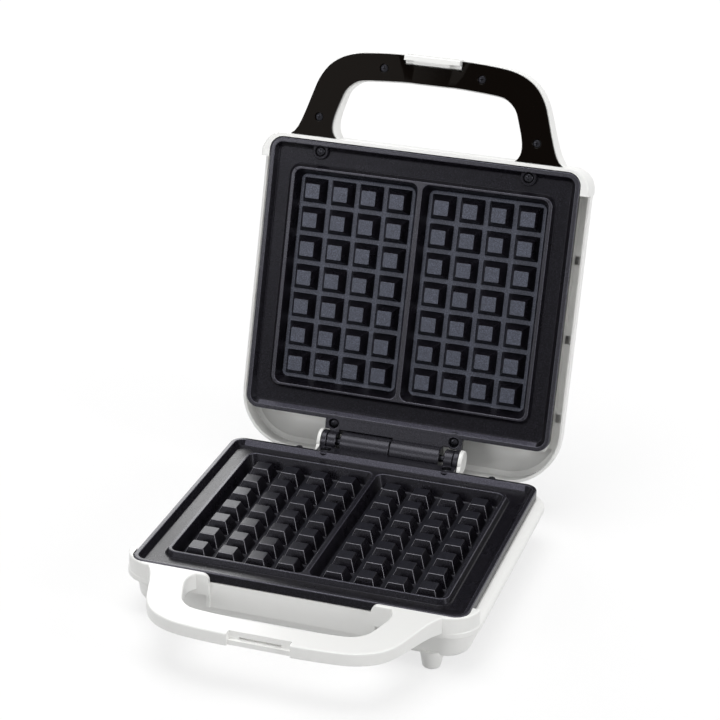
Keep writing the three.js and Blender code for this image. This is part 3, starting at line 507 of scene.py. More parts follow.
def relief(tree, shader, cloud, strength, depth_mm):
    """Raises and sinks the surface with the noise."""
    bump = add_node(
        tree, "ShaderNodeBump", Height=cloud, Strength=strength, Distance=depth_mm * MM
    )
    tree.links.new(bump.outputs["Normal"], shader.inputs["Normal"])


def moulded_plastic(name, colour, roughness, grain_mm, grain_height_mm, **values):
    """Plastic or rubber from a mould: the mould's faint texture, and a gloss that drifts
    slowly across the piece as the melt cooled."""
    drift_mm, detail = 45, 2.0
    glossier, duller = 0.9, 1.12  # shares of the roughness
    material, tree, shader = surface(name, Base_Color=linear(colour), Roughness=roughness, **values)
    relief(tree, shader, noise(tree, grain_mm, detail), 1.0, grain_height_mm)
    cloud = noise(tree, drift_mm, detail)
    uneven_gloss(tree, shader, cloud, roughness * glossier, roughness * duller)
    return material


def non_stick_coating(name, colour, fleck, roughness, head_on):
    """Non-stick coating, sprayed on cast aluminium: dark head-on and shining at a low angle,
    with fine grains that catch the light over a slow unevenness from the casting. The
    grain is drawn near 0.8 mm, coarser than real, as it needs to show."""
    grain_mm, grain_height_mm, grain_strength, grain_roughness = 0.8, 0.05, 0.8, 0.75
    drift_mm, detail = 28, 3.0
    first_fleck, full_fleck = 0.47, 0.72
    smoother, rougher = 0.04, 0.06
    red_share = 0.88  # of the blue in what it mirrors head-on, and the green's share too
    bluish = head_on * red_share, head_on * red_share, head_on, 1
    material, tree, shader = surface(
        name, Base_Color=linear(colour), Roughness=roughness, IOR=1.45, Specular_Tint=bluish
    )
    grain = noise(tree, grain_mm, detail, Roughness=grain_roughness)
    spots = add_node(
        tree, "ShaderNodeMapRange", Value=grain, _1=first_fleck, _2=full_fleck, _3=0.0, _4=1.0
    )
    tint = add_node(
        tree, "ShaderNodeMix", {"data_type": "RGBA"},
        Factor=spots.outputs["Result"], _6=linear(colour), _7=linear(fleck),
    )
    tree.links.new(tint.outputs["Result"], shader.inputs["Base Color"])
    cloud = noise(tree, drift_mm, detail)
    uneven_gloss(tree, shader, cloud, roughness - smoother, roughness + rougher)
    relief(tree, shader, grain, grain_strength, grain_height_mm)
    return material


def worked_steel(name, colour, roughness, scratch_mm):
    """Drawn, pressed or turned steel: fine marks of the tool, which break up its shine."""
    scratch_depth_mm, scratch_strength, detail = 0.02, 0.4, 3.0
    glossier, duller = 0.8, 1.3  # shares of the roughness
    material, tree, shader = surface(
        name, Base_Color=linear(colour), Roughness=roughness, Metallic=1.0
    )
    marks = noise(tree, scratch_mm, detail)
    uneven_gloss(tree, shader, marks, roughness * glossier, roughness * duller)
    relief(tree, shader, marks, scratch_strength, scratch_depth_mm)
    return material


# White ABS, injection-moulded in a fine-blasted mould: an even white with a soft gloss that
# blurs what it mirrors
WHITE_ABS = moulded_plastic(
    "white_moulded_abs", "#F4F4F2", roughness=0.3, grain_mm=0.6, grain_height_mm=0.006
)

# Black-brown ABS from a polished mould: nearly black, and smooth enough to mirror sharply
BLACK_ABS = moulded_plastic(
    "glossy_black_brown_abs", "#0A0604", roughness=0.08, grain_mm=0.9, grain_height_mm=0.001,
    Specular_Tint=(0.04, 0.037, 0.034, 1),
)

# The non-stick coating where it lies flat, on rims and knuckles: a dark satin
COATED_RIM = non_stick_coating(
    "non_stick_coating_on_the_rims", "#17161A", fleck="#36353D", roughness=0.26, head_on=0.85
)

# In the band round the dam and on all drafted walls and slopes: almost black. On the walls and
# slopes this is painted shade, darker than the tops beside them.
DARK_BAND_AND_WALL_SHADE = non_stick_coating(
    "non_stick_coating_band_and_painted_wall_shade", "#060507", fleck="#2D2B34", roughness=0.27, head_on=0.27
)

# On the tops of the upper studs and the floor: a bluish grey full of bright grains, the lit copy of
# the lower studs' coat, made lighter by painted light
LIT_FIELD = non_stick_coating(
    "non_stick_coating_lit_on_upper_studs", "#343740", fleck="#6A6F80", roughness=0.36, head_on=0.8
)

# On the tops of the lower studs: the same grain, darker, the shaded copy of the upper studs' coat,
# painted shade
SHADED_FIELD = non_stick_coating(
    "non_stick_coating_shaded_on_lower_studs", "#17171B", fleck="#35353E", roughness=0.3, head_on=0.6
)

# On the rounded edges of rim and dam: a paler line that shines, a painted highlight where these
# edges catch the light
EDGE_HIGHLIGHT = non_stick_coating(
    "non_stick_coating_painted_edge_highlight", "#3B3A43", fleck="#62616C", roughness=0.24, head_on=1.0
)

# On the front edges of the lower studs: thin pale lines, painted highlights on the edges that face
# the light
STUD_EDGE_HIGHLIGHT = non_stick_coating(
    "non_stick_coating_painted_stud_highlights", "#78777D", fleck="#A5A4AB", roughness=0.35, head_on=1.0
)

# Carbon steel, cold-formed and blackened: dark, with a dull shine on the heads' rims
BLACK_STEEL = worked_steel("blackened_screw_steel", "#29292D", roughness=0.26, scratch_mm=0.4)

# Steel, pressed or turned and zinc-plated: a bright, faintly marked silver
BRIGHT_STEEL = worked_steel("zinc_plated_steel", "#C4C5C7", roughness=0.28, scratch_mm=0.5)

# Rubber, compression-moulded: matt grey without highlights
GREY_RUBBER = moulded_plastic(
    "grey_moulded_rubber", "#55585A", roughness=0.75, grain_mm=0.7, grain_height_mm=0.02
)

# Phenolic resin, moulded: a dull brown
BROWN_RESIN = moulded_plastic(
    "brown_heat_proof_resin", "#4A3A2C", roughness=0.5, grain_mm=0.8, grain_height_mm=0.01
)

# Steatite ceramic, pressed and fired: off-white, with a faint glaze
CERAMIC = moulded_plastic(
    "off_white_ceramic", "#E6E0D2", roughness=0.4, grain_mm=0.8, grain_height_mm=0.01
)

# Acrylic, moulded clear and coloured: a glossy drop of amber or green
AMBER_LENS, GREEN_LENS = (
    moulded_plastic(
        name, colour, roughness=0.15, grain_mm=1.0, grain_height_mm=0.002, Coat_Weight=0.5
    )
    for name, colour in (("amber_lens_acrylic", "#D8741C"), ("green_lens_acrylic", "#3D9A46"))
)

# What each slot is made of, apart from the coats of the plates
FINISHES = {
    "white_plastic": [WHITE_ABS], "black_gloss": [BLACK_ABS], "grey_rubber": [GREY_RUBBER],
    "dark_steel": [BLACK_STEEL], "bright_steel": [BRIGHT_STEEL],
    "amber_lens": [AMBER_LENS], "green_lens": [GREEN_LENS],
}

# The coats of a plate, in the order in which its materials are given
RIM_COAT, BAND_AND_WALL_SHADE_COAT, FIELD_COAT, EDGE_HIGHLIGHT_COAT, STUD_HIGHLIGHT_COAT = range(5)
UPPER_COATS = [COATED_RIM, DARK_BAND_AND_WALL_SHADE, LIT_FIELD, EDGE_HIGHLIGHT]
LOWER_COATS = [COATED_RIM, DARK_BAND_AND_WALL_SHADE, SHADED_FIELD, EDGE_HIGHLIGHT, STUD_EDGE_HIGHLIGHT]


# The cast plates
def stud(x, y):
    """One drafted stud with softened edges and a fillet at its foot."""
    draft = (STUD_BASE - STUD_TOP) / 2
    foot_reach, foot_sunk, foot_draft, fillet = 1.4, 0.4, 0.1, 0.8
    top_round, top_reach, corner, corner_steps = 0.45, 2, 0.7, 3
    profile = softened(
        [
            (-foot_reach - foot_draft, FLOOR_LEVEL - foot_sunk, 0),
            (-foot_reach, FLOOR_LEVEL + SKIN, 0),
            (0, FLOOR_LEVEL + SKIN, fillet),
            (draft, STUD_LEVEL, top_round),
            (draft + top_reach, STUD_LEVEL, 0),
        ]
    )
    rings = []
    for inset, z in profile:
        half = STUD_BASE / 2 - inset
        rings.append(ring(rectangle(half, half, min(corner, half / 3)), z, 0, x, y, corner_steps))
    return loft(rings)


def cavity(side):
    """The room of one waffle, with a fillet round its floor and a soft crest."""
    average_draft, fillet, crest_round, crest_reach = 3.2, 1.6, 0.7, 1.1
    floor_inset = -3  # where the floor's flat part begins, inside the fillet
    line = softened(
        [
            (floor_inset, FLOOR_LEVEL, 0),
            (0, FLOOR_LEVEL, fillet),
            (average_draft, DAM_LEVEL + SKIN, crest_round),
            (average_draft + crest_reach, DAM_LEVEL + SKIN, 0),
            (average_draft + crest_reach, DAM_LEVEL + 2 * OVERRUN, 0),
        ]
    )
    rings = []
    for u, z in line:
        t = u / average_draft
        near = FLOOR_NEAR + (CREST_NEAR - FLOOR_NEAR) * t
        far = FLOOR_FAR + (CAVITY_HALF_WIDTH - FLOOR_FAR) * t
        depth = FLOOR_HALF_DEPTH + (CAVITY_HALF_DEPTH - FLOOR_HALF_DEPTH) * t
        middle = side * (far + near) / 2
        rings.append(ring(rectangle((far - near) / 2, depth, CAVITY_CORNER), z, 0, middle))
    return loft(rings)


def boss(radius, x, y, top):
    """A round boss with a softened top edge."""
    edge, bulge = 0.8, 0.25
    profile = [
        (radius, SKIRT_LEVEL), (radius, top - edge), (radius - bulge, top - bulge),
        (radius - edge, top),
    ]
    return turned(profile, (x, y, 0))


def screw_well(x, y, top):
    """The well of a screw in its boss, flared at its mouth."""
    well, flare, flare_depth = 3.8, 0.9, 0.7
    bend, bend_depth = 0.25, 0.2  # of the flare's curve
    profile = [
        (well, RIM_LEVEL - BOSS_SEAT_DEPTH),
        (well, top - flare_depth),
        (well + bend, top - bend_depth),
        (well + flare, top + SKIN),
        (well + flare, top + 3 * OVERRUN),
    ]
    return turned(profile, (x, y, 0))


def lip():
    """Follows the lower plate's barrel and closes the slit over it."""
    inner = BARREL_RADIUS + BARREL_ROOM
    outer = inner + LIP_THICKNESS
    first_degree, degree_step, count = 18, 6, 8
    angles = [math.radians(first_degree + degree_step * k) for k in range(count)]
    outline = [(PIN_Y - inner * math.cos(a), -inner * math.sin(a)) for a in angles]
    outline += [(PIN_Y - outer * math.cos(a), -outer * math.sin(a)) for a in reversed(angles)]
    near, overlap = 1, 1
    return across(outline[::-1], near, EYE_OFFSET + overlap)


def knuckles(is_upper):
    """Shelf, barrel, eye and cheek at the back of a plate, with the upper plate's lip."""
    low = RIM_LEVEL - SHELF_THICKNESS
    side = CHEEK_OFFSET + CHEEK_WIDTH
    sunk, edge = 0.05, 0.5  # the shelf lies just under the rim, and its back edge is chamfered
    shelf = across(
        [
            (PLATE_HALF_DEPTH - RIM_FLAT, low),
            (SHELF_BACK, low),
            (SHELF_BACK, RIM_LEVEL - edge),
            (SHELF_BACK - edge, RIM_LEVEL - sunk),
            (PLATE_HALF_DEPTH - RIM_FLAT, RIM_LEVEL - sunk),
        ],
        -side,
        side,
    )
    barrel_edge, eye_edge, cheek_edge = 0.6, 0.5, 0.4
    spans = (
        (BARREL_RADIUS, -BARREL_GAP / 2 - BARREL_LENGTH, -BARREL_GAP / 2, barrel_edge),
        (EYE_RADIUS, EYE_OFFSET, EYE_OFFSET + EYE_WIDTH, eye_edge),
        (CHEEK_RADIUS, -side, -CHEEK_OFFSET, cheek_edge),
    )
    web_front, web_top = SHELF_BACK - 1, RIM_LEVEL - sunk - 0.01
    steps = [("add", lip())] if is_upper else []
    for radius, x0, x1, end_edge in spans:
        web = box(x0, x1, web_front, PIN_Y - PIN_RADIUS, low, web_top)
        steps += [("add", bar(radius, x0, x1, PIN_Y, 0, end_edge)), ("add", web)]
    bore = PIN_RADIUS + CLEARANCE
    steps.append(("cut", bar(bore, -side - OVERRUN, side + OVERRUN, PIN_Y, 0, 0, SMALL_STEPS)))
    return combined(shelf, *steps)


def stud_field():
    """All studs of a plate, in both of its cavities."""
    first = FLOOR_NEAR + STUD_MARGIN + STUD_BASE / 2
    return joined(
        [
            stud(side * (first + column * STUD_PITCH), (row - (STUD_ROWS - 1) / 2) * STUD_PITCH)
            for side in (-1, 1)
            for column in range(STUD_COLUMNS)
            for row in range(STUD_ROWS)
        ]
    )


def griddle(is_upper):
    """A cast plate: skirt, rim and band, the dam's block, cavities, studs, hinge and bosses."""
    slope_foot = RIM_FLAT + RIM_SLOPE
    edge, rim_round, rim_fillet, flat_run = 0.7, 1.0, 1.8, 4
    casting = moulded(
        rectangle(PLATE_HALF_WIDTH, PLATE_HALF_DEPTH, PLATE_CORNER),
        [
            (2, SKIRT_LEVEL, 0),
            (0, SKIRT_LEVEL, edge),
            (0, RIM_LEVEL, rim_round),
            (RIM_FLAT, RIM_LEVEL, edge),
            (slope_foot, BAND_LEVEL, rim_fillet),
            (slope_foot + flat_run, BAND_LEVEL, 0),
        ],
    )
    dam_foot = -2.6  # runs out into the band beside the dam
    dam_fillet, crest_run = 1.6, 3
    belly_inset, belly_run, belly_round, belly_shoulder = 7, 2, 1, 3.5
    block = moulded(
        rectangle(DAM_HALF_WIDTH, DAM_HALF_DEPTH, DAM_CORNER),
        [
            (belly_inset + belly_run, UNDERSIDE_LEVEL, 0),
            (belly_inset, UNDERSIDE_LEVEL, belly_round),
            (belly_shoulder, SKIRT_LEVEL - 1, 0),
            (dam_foot, SKIRT_LEVEL, 0),
            (dam_foot, BAND_LEVEL + SKIN, 0),
            (0, BAND_LEVEL + SKIN, dam_fillet),
            (DAM_SLOPE, DAM_LEVEL, edge),
            (DAM_SLOPE + crest_run, DAM_LEVEL, 0),
        ],
    )
    steps = [
        ("add", block), ("cut", joined([cavity(-1), cavity(1)])), ("add", stud_field()),
        ("add", knuckles(is_upper)),
    ]
    nose_sunk, lug_sunk, neck, shank_hole = 0.05, 0.5, 0.8, 2.2
    wells = [(x, REAR_BOSS_Y, RIM_LEVEL) for x in (-REAR_BOSS_X, REAR_BOSS_X)]
    for x, y, top in wells:
        steps.append(("add", boss(BOSS_RADIUS, x, y, top)))
        steps.append(("add", boss(BOSS_NOSE_RADIUS, x, y - BOSS_NOSE_FORWARD, top - nose_sunk)))
    if is_upper:
        top = RIM_LEVEL - FRONT_BOSS_DROP
        half, front = FRONT_BOSS_RADIUS - neck, -PLATE_HALF_DEPTH + RIM_FLAT
        for x in (-FRONT_BOSS_X, FRONT_BOSS_X):
            steps.append(("add", boss(FRONT_BOSS_RADIUS, x, FRONT_BOSS_Y, top)))
            steps.append(("add", box(x - half, x + half, front, FRONT_BOSS_Y, SKIRT_LEVEL, top)))
            wells.append((x, FRONT_BOSS_Y, top))
    else:
        for x in LUG_X:
            steps.append(("add", boss(LUG_RADIUS, x, LUG_Y, RIM_LEVEL - lug_sunk)))
    for x, y, top in wells:
        steps.append(("cut", screw_well(x, y, top)))
        steps.append(("cut", disc(shank_hole, UNDERSIDE_LEVEL, 2 * OVERRUN, x, y)))
    return combined(casting, *steps)


def coat_zone(centre, normal):
    """The rims and the hinge are smoothest. The band, the slopes and all drafted walls are darkest,
    which on the slopes and walls is painted shade; the studs' tops and the floor are greyer, and
    the rounded edges of rim and dam carry a painted highlight, brightest of all."""
    x, y, z = abs(centre.x), abs(centre.y), centre.z
    least_tilt, most_tilt, level = 0.985, 0.5, 0.9  # as the normal's upward part
    near_top, near_level, side_margin, end_margin, crest_margin = 1, 0.4, 0.6, 0.8, 0.4
    tilted = most_tilt < normal.z < least_tilt
    # Painted highlight on the rounded edges of rim and dam, between flat and steep
    if z > DAM_LEVEL - near_top and tilted and centre.y < PLATE_HALF_DEPTH:
        return EDGE_HIGHLIGHT_COAT
    if x < CAVITY_HALF_WIDTH - side_margin and y < CAVITY_HALF_DEPTH - end_margin:
        off_level = min(abs(z - STUD_LEVEL), abs(z - FLOOR_LEVEL))
        if off_level < near_level and normal.z > level:
            return FIELD_COAT
        # Slopes and drafted walls in the cavities take the darkest coat: painted shade
        return RIM_COAT if x < CREST_NEAR + crest_margin else BAND_AND_WALL_SHADE_COAT
    # Outside the cavities the slopes take the darkest coat too, as painted shade
    rim_depth = 0.7
    on_rim = z > DAM_LEVEL - rim_depth or centre.y > PLATE_HALF_DEPTH - RIM_FLAT
    return RIM_COAT if on_rim else BAND_AND_WALL_SHADE_COAT


def highlight_zone(centre, normal):
    """As coat_zone, and the front edges of the lower plate's studs get painted highlights."""
    x, y, z = abs(centre.x), abs(centre.y), centre.z
    side_margin, end_margin, foot_height, top_depth = 1, 0.5, 0.8, 0.6
    in_field = x < FLOOR_FAR - side_margin and y < FLOOR_HALF_DEPTH - end_margin
    # Painted highlights: stud edges that face the front, on the lower plate only
    if in_field and z > FLOOR_LEVEL + foot_height:
        if normal.y < -0.5 and abs(normal.x) > 0.5:  # an upright corner that faces the front
            return STUD_HIGHLIGHT_COAT
        top_edge = z > STUD_LEVEL - top_depth and 0.45 < normal.z < 0.96
        if top_edge and normal.y < -0.25:
            return STUD_HIGHLIGHT_COAT
    return coat_zone(centre, normal)


# Handles
def smooth_line(points, steps):
    """A curve through the points, evenly sampled."""
    dense_steps = 12
    ends = [points[0]] + list(points) + [points[-1]]
    dense = []
    for i in range(len(points) - 1):
        p0, p1, p2, p3 = (Vector(ends[i + k]) for k in range(4))
        for k in range(dense_steps):
            t = k / dense_steps
            dense.append(
                0.5 * (2 * p1 + (p2 - p0) * t + (2 * p0 - 5 * p1 + 4 * p2 - p3) * t**2
                       + (3 * p1 - p0 - 3 * p2 + p3) * t**3)
            )
    dense.append(Vector(points[-1]))
    lengths = [0.0]
    for a, b in zip(dense, dense[1:]):
        lengths.append(lengths[-1] + (b - a).length)
    line, at = [], 0
    for k in range(steps + 1):
        want = lengths[-1] * k / steps
        while at < len(dense) - 2 and lengths[at + 1] < want:
            at += 1
        share = (want - lengths[at]) / max(lengths[at + 1] - lengths[at], 1e-9)
        line.append(dense[at].lerp(dense[at + 1], share))
    return line


def handle_edges(root_y, inset):
    """Outer and inner edge of the arch from the left root to the right one."""
    edges = []
    for shares, half, reach, sign in (
        (HANDLE_OUTER, HANDLE_ROOT, HANDLE_REACH, 1),
        (HANDLE_INNER, HANDLE_INNER_ROOT, HANDLE_INNER_REACH, -1),
    ):
        left = [(-half * a, -SHELL_FRONT - reach * b) for a, b in shares]
        left[0] = (left[0][0], root_y)
        whole = left + [(-x, y) for x, y in reversed(left[:-1])]
        line = smooth_line(whole, HANDLE_STEPS)
        last = len(line) - 1
        moved = []
        for i, point in enumerate(line):
            heading = (line[min(i + 1, last)] - line[max(i - 1, 0)]).normalized()
            if i in (0, last):
                heading = Vector((0, -1 if i == 0 else 1))
            moved.append(point + Vector((-heading.y, heading.x)) * inset * sign)
        edges.append(moved)
    return edges


def arch(root_y, top, bar_thickness, arm_thickness, edge, inset=0.0):
    """The handle as one bent bar, thick at its roots and thinner across."""
    outer, inner = handle_edges(root_y, inset)
    rings = []
    for out_point, in_point in zip(outer, inner):
        middle_y = (out_point.y + in_point.y) / 2
        share = min(max((-SHELL_FRONT - middle_y) / ARM_TAPER, 0), 1)
        low = top - arm_thickness - (bar_thickness - arm_thickness) * share
        width = (in_point - out_point).length
        corners = softened(
            [
                (width / 2, low, 0), (width, low, edge), (width, top, edge), (width / 2, top, 0),
                (0, top, edge), (0, low, edge), (width / 2, low, 0),
            ]
        )[:-1]
        rings.append([(*out_point.lerp(in_point, u / width), z) for u, z in corners])
    return loft(rings[::-1])


# Shells
BASE_PLAN = plan_of(SHELL_HALF_WIDTH, SHELL_FRONT, BASE_BACK, BASE_FRONT_CORNER, BASE_BACK_CORNER)
BUMPER_PLAN = plan_of(
    SHELL_HALF_WIDTH - BUMPER_INSET, SHELL_FRONT, BASE_BACK, BASE_FRONT_CORNER, BASE_BACK_CORNER
)
LID_PLAN = plan_of(SHELL_HALF_WIDTH, SHELL_FRONT, LID_BACK, SHELL_CORNER, LID_BACK_CORNER)
PLATE_HOLE = rectangle(
    PLATE_HALF_WIDTH + PLATE_FIT, PLATE_HALF_DEPTH + PLATE_FIT, PLATE_CORNER + PLATE_FIT
)


def front_rim(plan, low):
    """The wall that rises round the front of a plate."""
    thickness = 5
    wall = moulded(plan, [(0, low, 0), (0, BUMPER_TOP, RIM_EDGE), (thickness, BUMPER_TOP, 0)])
    hole = stacked(PLATE_HOLE, [(0, low - OVERRUN), (0, OVERRUN)])
    back = -PLATE_HALF_DEPTH + BUMPER_SIDE_LENGTH
    keep = box(-BEYOND, BEYOND, -BEYOND, back, BELOW, ABOVE)
    return combined(wall, ("cut", hole), ("keep", keep))


def handle_opening():
    """What is cut from the base's front rim between its bumpers, whose ends are rounded."""
    half = [(-BUMPER_INNER_X, -OPENING_DEPTH)]
    for i in range(CORNER_STEPS + 1):
        angle = math.pi / 2 * i / CORNER_STEPS
        half.append(
            (
                -BUMPER_INNER_X - BUMPER_ROUND * (1 - math.cos(angle)),
                BUMPER_TOP - BUMPER_ROUND * (1 - math.sin(angle)),
            )
        )
    half.append((-BUMPER_INNER_X - BUMPER_ROUND, OVERRUN))
    outline = half + [(-x, z) for x, z in reversed(half)]
    ends = -SHELL_FRONT - OVERRUN, 0
    return drawn_out(outline, lambda end, p: (p[0] + RECESS_MIDDLE, ends[end], p[1]))


def ear(side):
    """One of the two ears that hold the hinge pin, domed on its outer face."""
    x0, x1, middle, steps = EAR_OFFSET, EAR_OFFSET + EAR_WIDTH, 0.5, 6
    line = softened([(EAR_RADIUS, x0, 0), (EAR_RADIUS, x1, EAR_ROUND), (middle, x1, 0)], steps)
    profile = [(radius, side * x) for radius, x in line]
    return turned(profile if side > 0 else profile[::-1], (0, PIN_Y, 0), "X")


def latch_notch():
    """The notch in the base's handle, open below, with a slot for the latch's catch."""
    half = LATCH_WIDTH / 2 + LATCH_GAP
    back = LATCH_FRONT + LATCH_BLADE + LATCH_GAP
    catch = CATCH_WIDTH / 2 + LATCH_GAP
    low, high = -LATCH_REACH - CLEARANCE, -LATCH_REACH + CATCH_HEIGHT + CLEARANCE
    floor_depth, below_bar = 2.4, -24
    front, open_front = POCKET_FRONT, POCKET_FRONT - OVERRUN
    return combined(
        box(-half, half, front, back, NOTCH_FLOOR, 2 * OVERRUN),
        ("add", box(-half, half, open_front, back - floor_depth, below_bar, 3 * OVERRUN)),
        ("add", box(-catch, catch, open_front - OVERRUN, back + CATCH_REACH, low, high)),
    )


def base_shell():
    """The white band round the lower plate, with its bumpers, recess, handle and ears."""
    low, edge, sole_run, seat_run, seat_round = BAND_BOTTOM, 0.8, 3, 4, 1
    bend_rise, bend_round = 2.4, 2.5  # the shoulder is steep first and flatter above its bend
    shell = moulded(
        BASE_PLAN,
        [
            (sole_run, low, 0), (0, low, edge), (0, SHOULDER_LEVEL, 2 * edge),
            (SHOULDER_RUN / 3, SHOULDER_LEVEL + bend_rise, bend_round),
            (SHOULDER_RUN, SEAT_LEVEL, seat_round), (SHOULDER_RUN + seat_run, SEAT_LEVEL, 0),
        ],
    )
    inside = stacked(
        BASE_PLAN,
        [
            (WALL, low - OVERRUN), (WALL, SHOULDER_LEVEL - WALL),
            (LEDGE_INSET, SEAT_LEVEL - WALL), (LEDGE_INSET, OVERRUN),
        ],
    )
    wall_back = -PLATE_HALF_DEPTH + WALL
    front_wall = box(-HANDLE_ROOT, HANDLE_ROOT, -SHELL_FRONT, wall_back, low, SEAT_LEVEL)
    overlap, apron_back = 1, 0.3
    rim = combined(front_rim(BUMPER_PLAN, SHOULDER_LEVEL - overlap), ("cut", handle_opening()))
    left, right = RECESS_MIDDLE - RECESS_HALF_WIDTH, RECESS_MIDDLE + RECESS_HALF_WIDTH
    recess = box(left, right, -SHELL_FRONT - OVERRUN, RECESS_Y, RECESS_BOTTOM - OVERRUN, OVERRUN)
    steps = [
        ("add", front_wall),
        ("cut", inside),
        ("add", rim),
        ("add", box(left - WALL, right + WALL, RECESS_Y - overlap, wall_back,
                    PAN_TOP + CLEARANCE, SEAT_LEVEL)),
        ("add", box(left - WALL, right + WALL, RECESS_Y - overlap, RECESS_Y + apron_back,
                    RECESS_BOTTOM, PAN_TOP + overlap)),
        ("cut", recess),
        ("add", arch(-SHELL_FRONT + HANDLE_OVERLAP, BUMPER_TOP, BASE_BAR, BASE_ARM, HANDLE_EDGE)),
        ("cut", latch_notch()),
    ]
    web = [
        (PLATE_HALF_DEPTH + PLATE_FIT, SEAT_LEVEL - WALL),
        (BASE_BACK, SHOULDER_LEVEL),
        (PIN_Y, -EAR_RADIUS),
        (PIN_Y, 0),
        (PIN_Y - EAR_RADIUS, 0),
        (PLATE_HALF_DEPTH + PLATE_FIT, SEAT_LEVEL),
    ]
    web_sunk = 0.5  # under the ear's outer face
    for side in (-1, 1):
        x0, x1 = sorted((side * EAR_OFFSET, side * (EAR_OFFSET + EAR_WIDTH - web_sunk)))
        steps += [("add", ear(side)), ("add", across(web, x0, x1))]
    bore_start, bore_end = -70, PIN_ENDS[1] + CLEARANCE  # blind in the right ear
    steps.append(("cut", bar(PIN_RADIUS + CLEARANCE, bore_start, bore_end, PIN_Y, 0)))
    return combined(shell, *steps)


# Shares of the pan's curve: how far in from its side, and how far up from its bottom
PAN_SECTION = [
    (1, 0), (0.6, 0.045), (0.4, 0.12), (0.22, 0.26), (0.1, 0.45), (0.03, 0.7), (0, 1),
]


def pan_form(inset, bottom, top):
    """The pan's rounded bowl, filled, which is cut by a smaller one of its kind."""
    plan = plan_of(
        SHELL_HALF_WIDTH - PAN_INSET, SHELL_FRONT - PAN_INSET, BASE_BACK - PAN_INSET,
        BASE_FRONT_CORNER, BASE_BACK_CORNER,
    )
    curve = [
        (inset + PAN_LEAN + PAN_CURVE * into, bottom + PAN_CURVE * up) for into, up in PAN_SECTION
    ]
    return stacked(plan, curve + [(inset, top)])


def bottom_pan():
    """The white pan under the base, with four feet, wells for its screws and the cord's hole."""
    low = -PAN_DEPTH
    sole, sole_round = -PARTING_HEIGHT + PAD_SEAT, 1.2
    root, root_flare = 3.6, 0.2  # the foot runs up inside the pan
    foot = softened(
        [
            (FOOT_BOTTOM_RADIUS - 1.5, sole, 0), (FOOT_BOTTOM_RADIUS, sole, sole_round),
            (FOOT_TOP_RADIUS, low + 1, 0), (FOOT_TOP_RADIUS + root_flare, low + 1 + root, 0),
        ]
    )
    pad_hole, pad_hole_top = PAD_RADIUS + CLEARANCE, sole + PAD_SEAT + CLEARANCE
    screw_hole = PAN_SCREW[0] + CLEARANCE
    steps = [("cut", pan_form(WALL, low + WALL, PAN_TOP + OVERRUN))]
    for x, y in FOOT_PLACES:
        steps.append(("add", turned(foot, (x, y, 0), "Z", FOOT_STEPS)))
        steps.append(("cut", disc(pad_hole, sole - OVERRUN, pad_hole_top, x, y, FOOT_STEPS)))
    for x, y in PAN_SCREW_PLACES:
        steps.append(("cut", disc(screw_hole, low - OVERRUN, low + PAN_SCREW_RECESS, x, y)))
    inner_end, outer_end = BASE_BACK - 14, BASE_BACK + 4
    hole = [(GLAND_HOLE_RADIUS, inner_end), (GLAND_HOLE_RADIUS, outer_end)]
    steps.append(("cut", turned(hole, GLAND_PLACE, "Y", SCREW_STEPS)))
    return combined(pan_form(0, low, PAN_TOP), *steps)


# The lid's rounding as shares of LID_ROUND inwards, LID_CROWN up and LID_ROUND up
LID_SECTION = [
    (3.2, 0, 0), (1.3, 0.6, 0), (0.62, 1, 0.09), (0.28, 1, 0.3), (0.08, 1, 0.62), (0, 1, 1),
]


def lid_section(inset):
    """The crown's rounding as fine (inset, height) pairs."""
    section_steps = 18
    points = [
        (inset + LID_ROUND * into, -LID_DEPTH + inset + LID_CROWN * crown + LID_ROUND * up)
        for into, crown, up in LID_SECTION
    ]
    return [(p.x, p.y) for p in smooth_line(points, section_steps)]


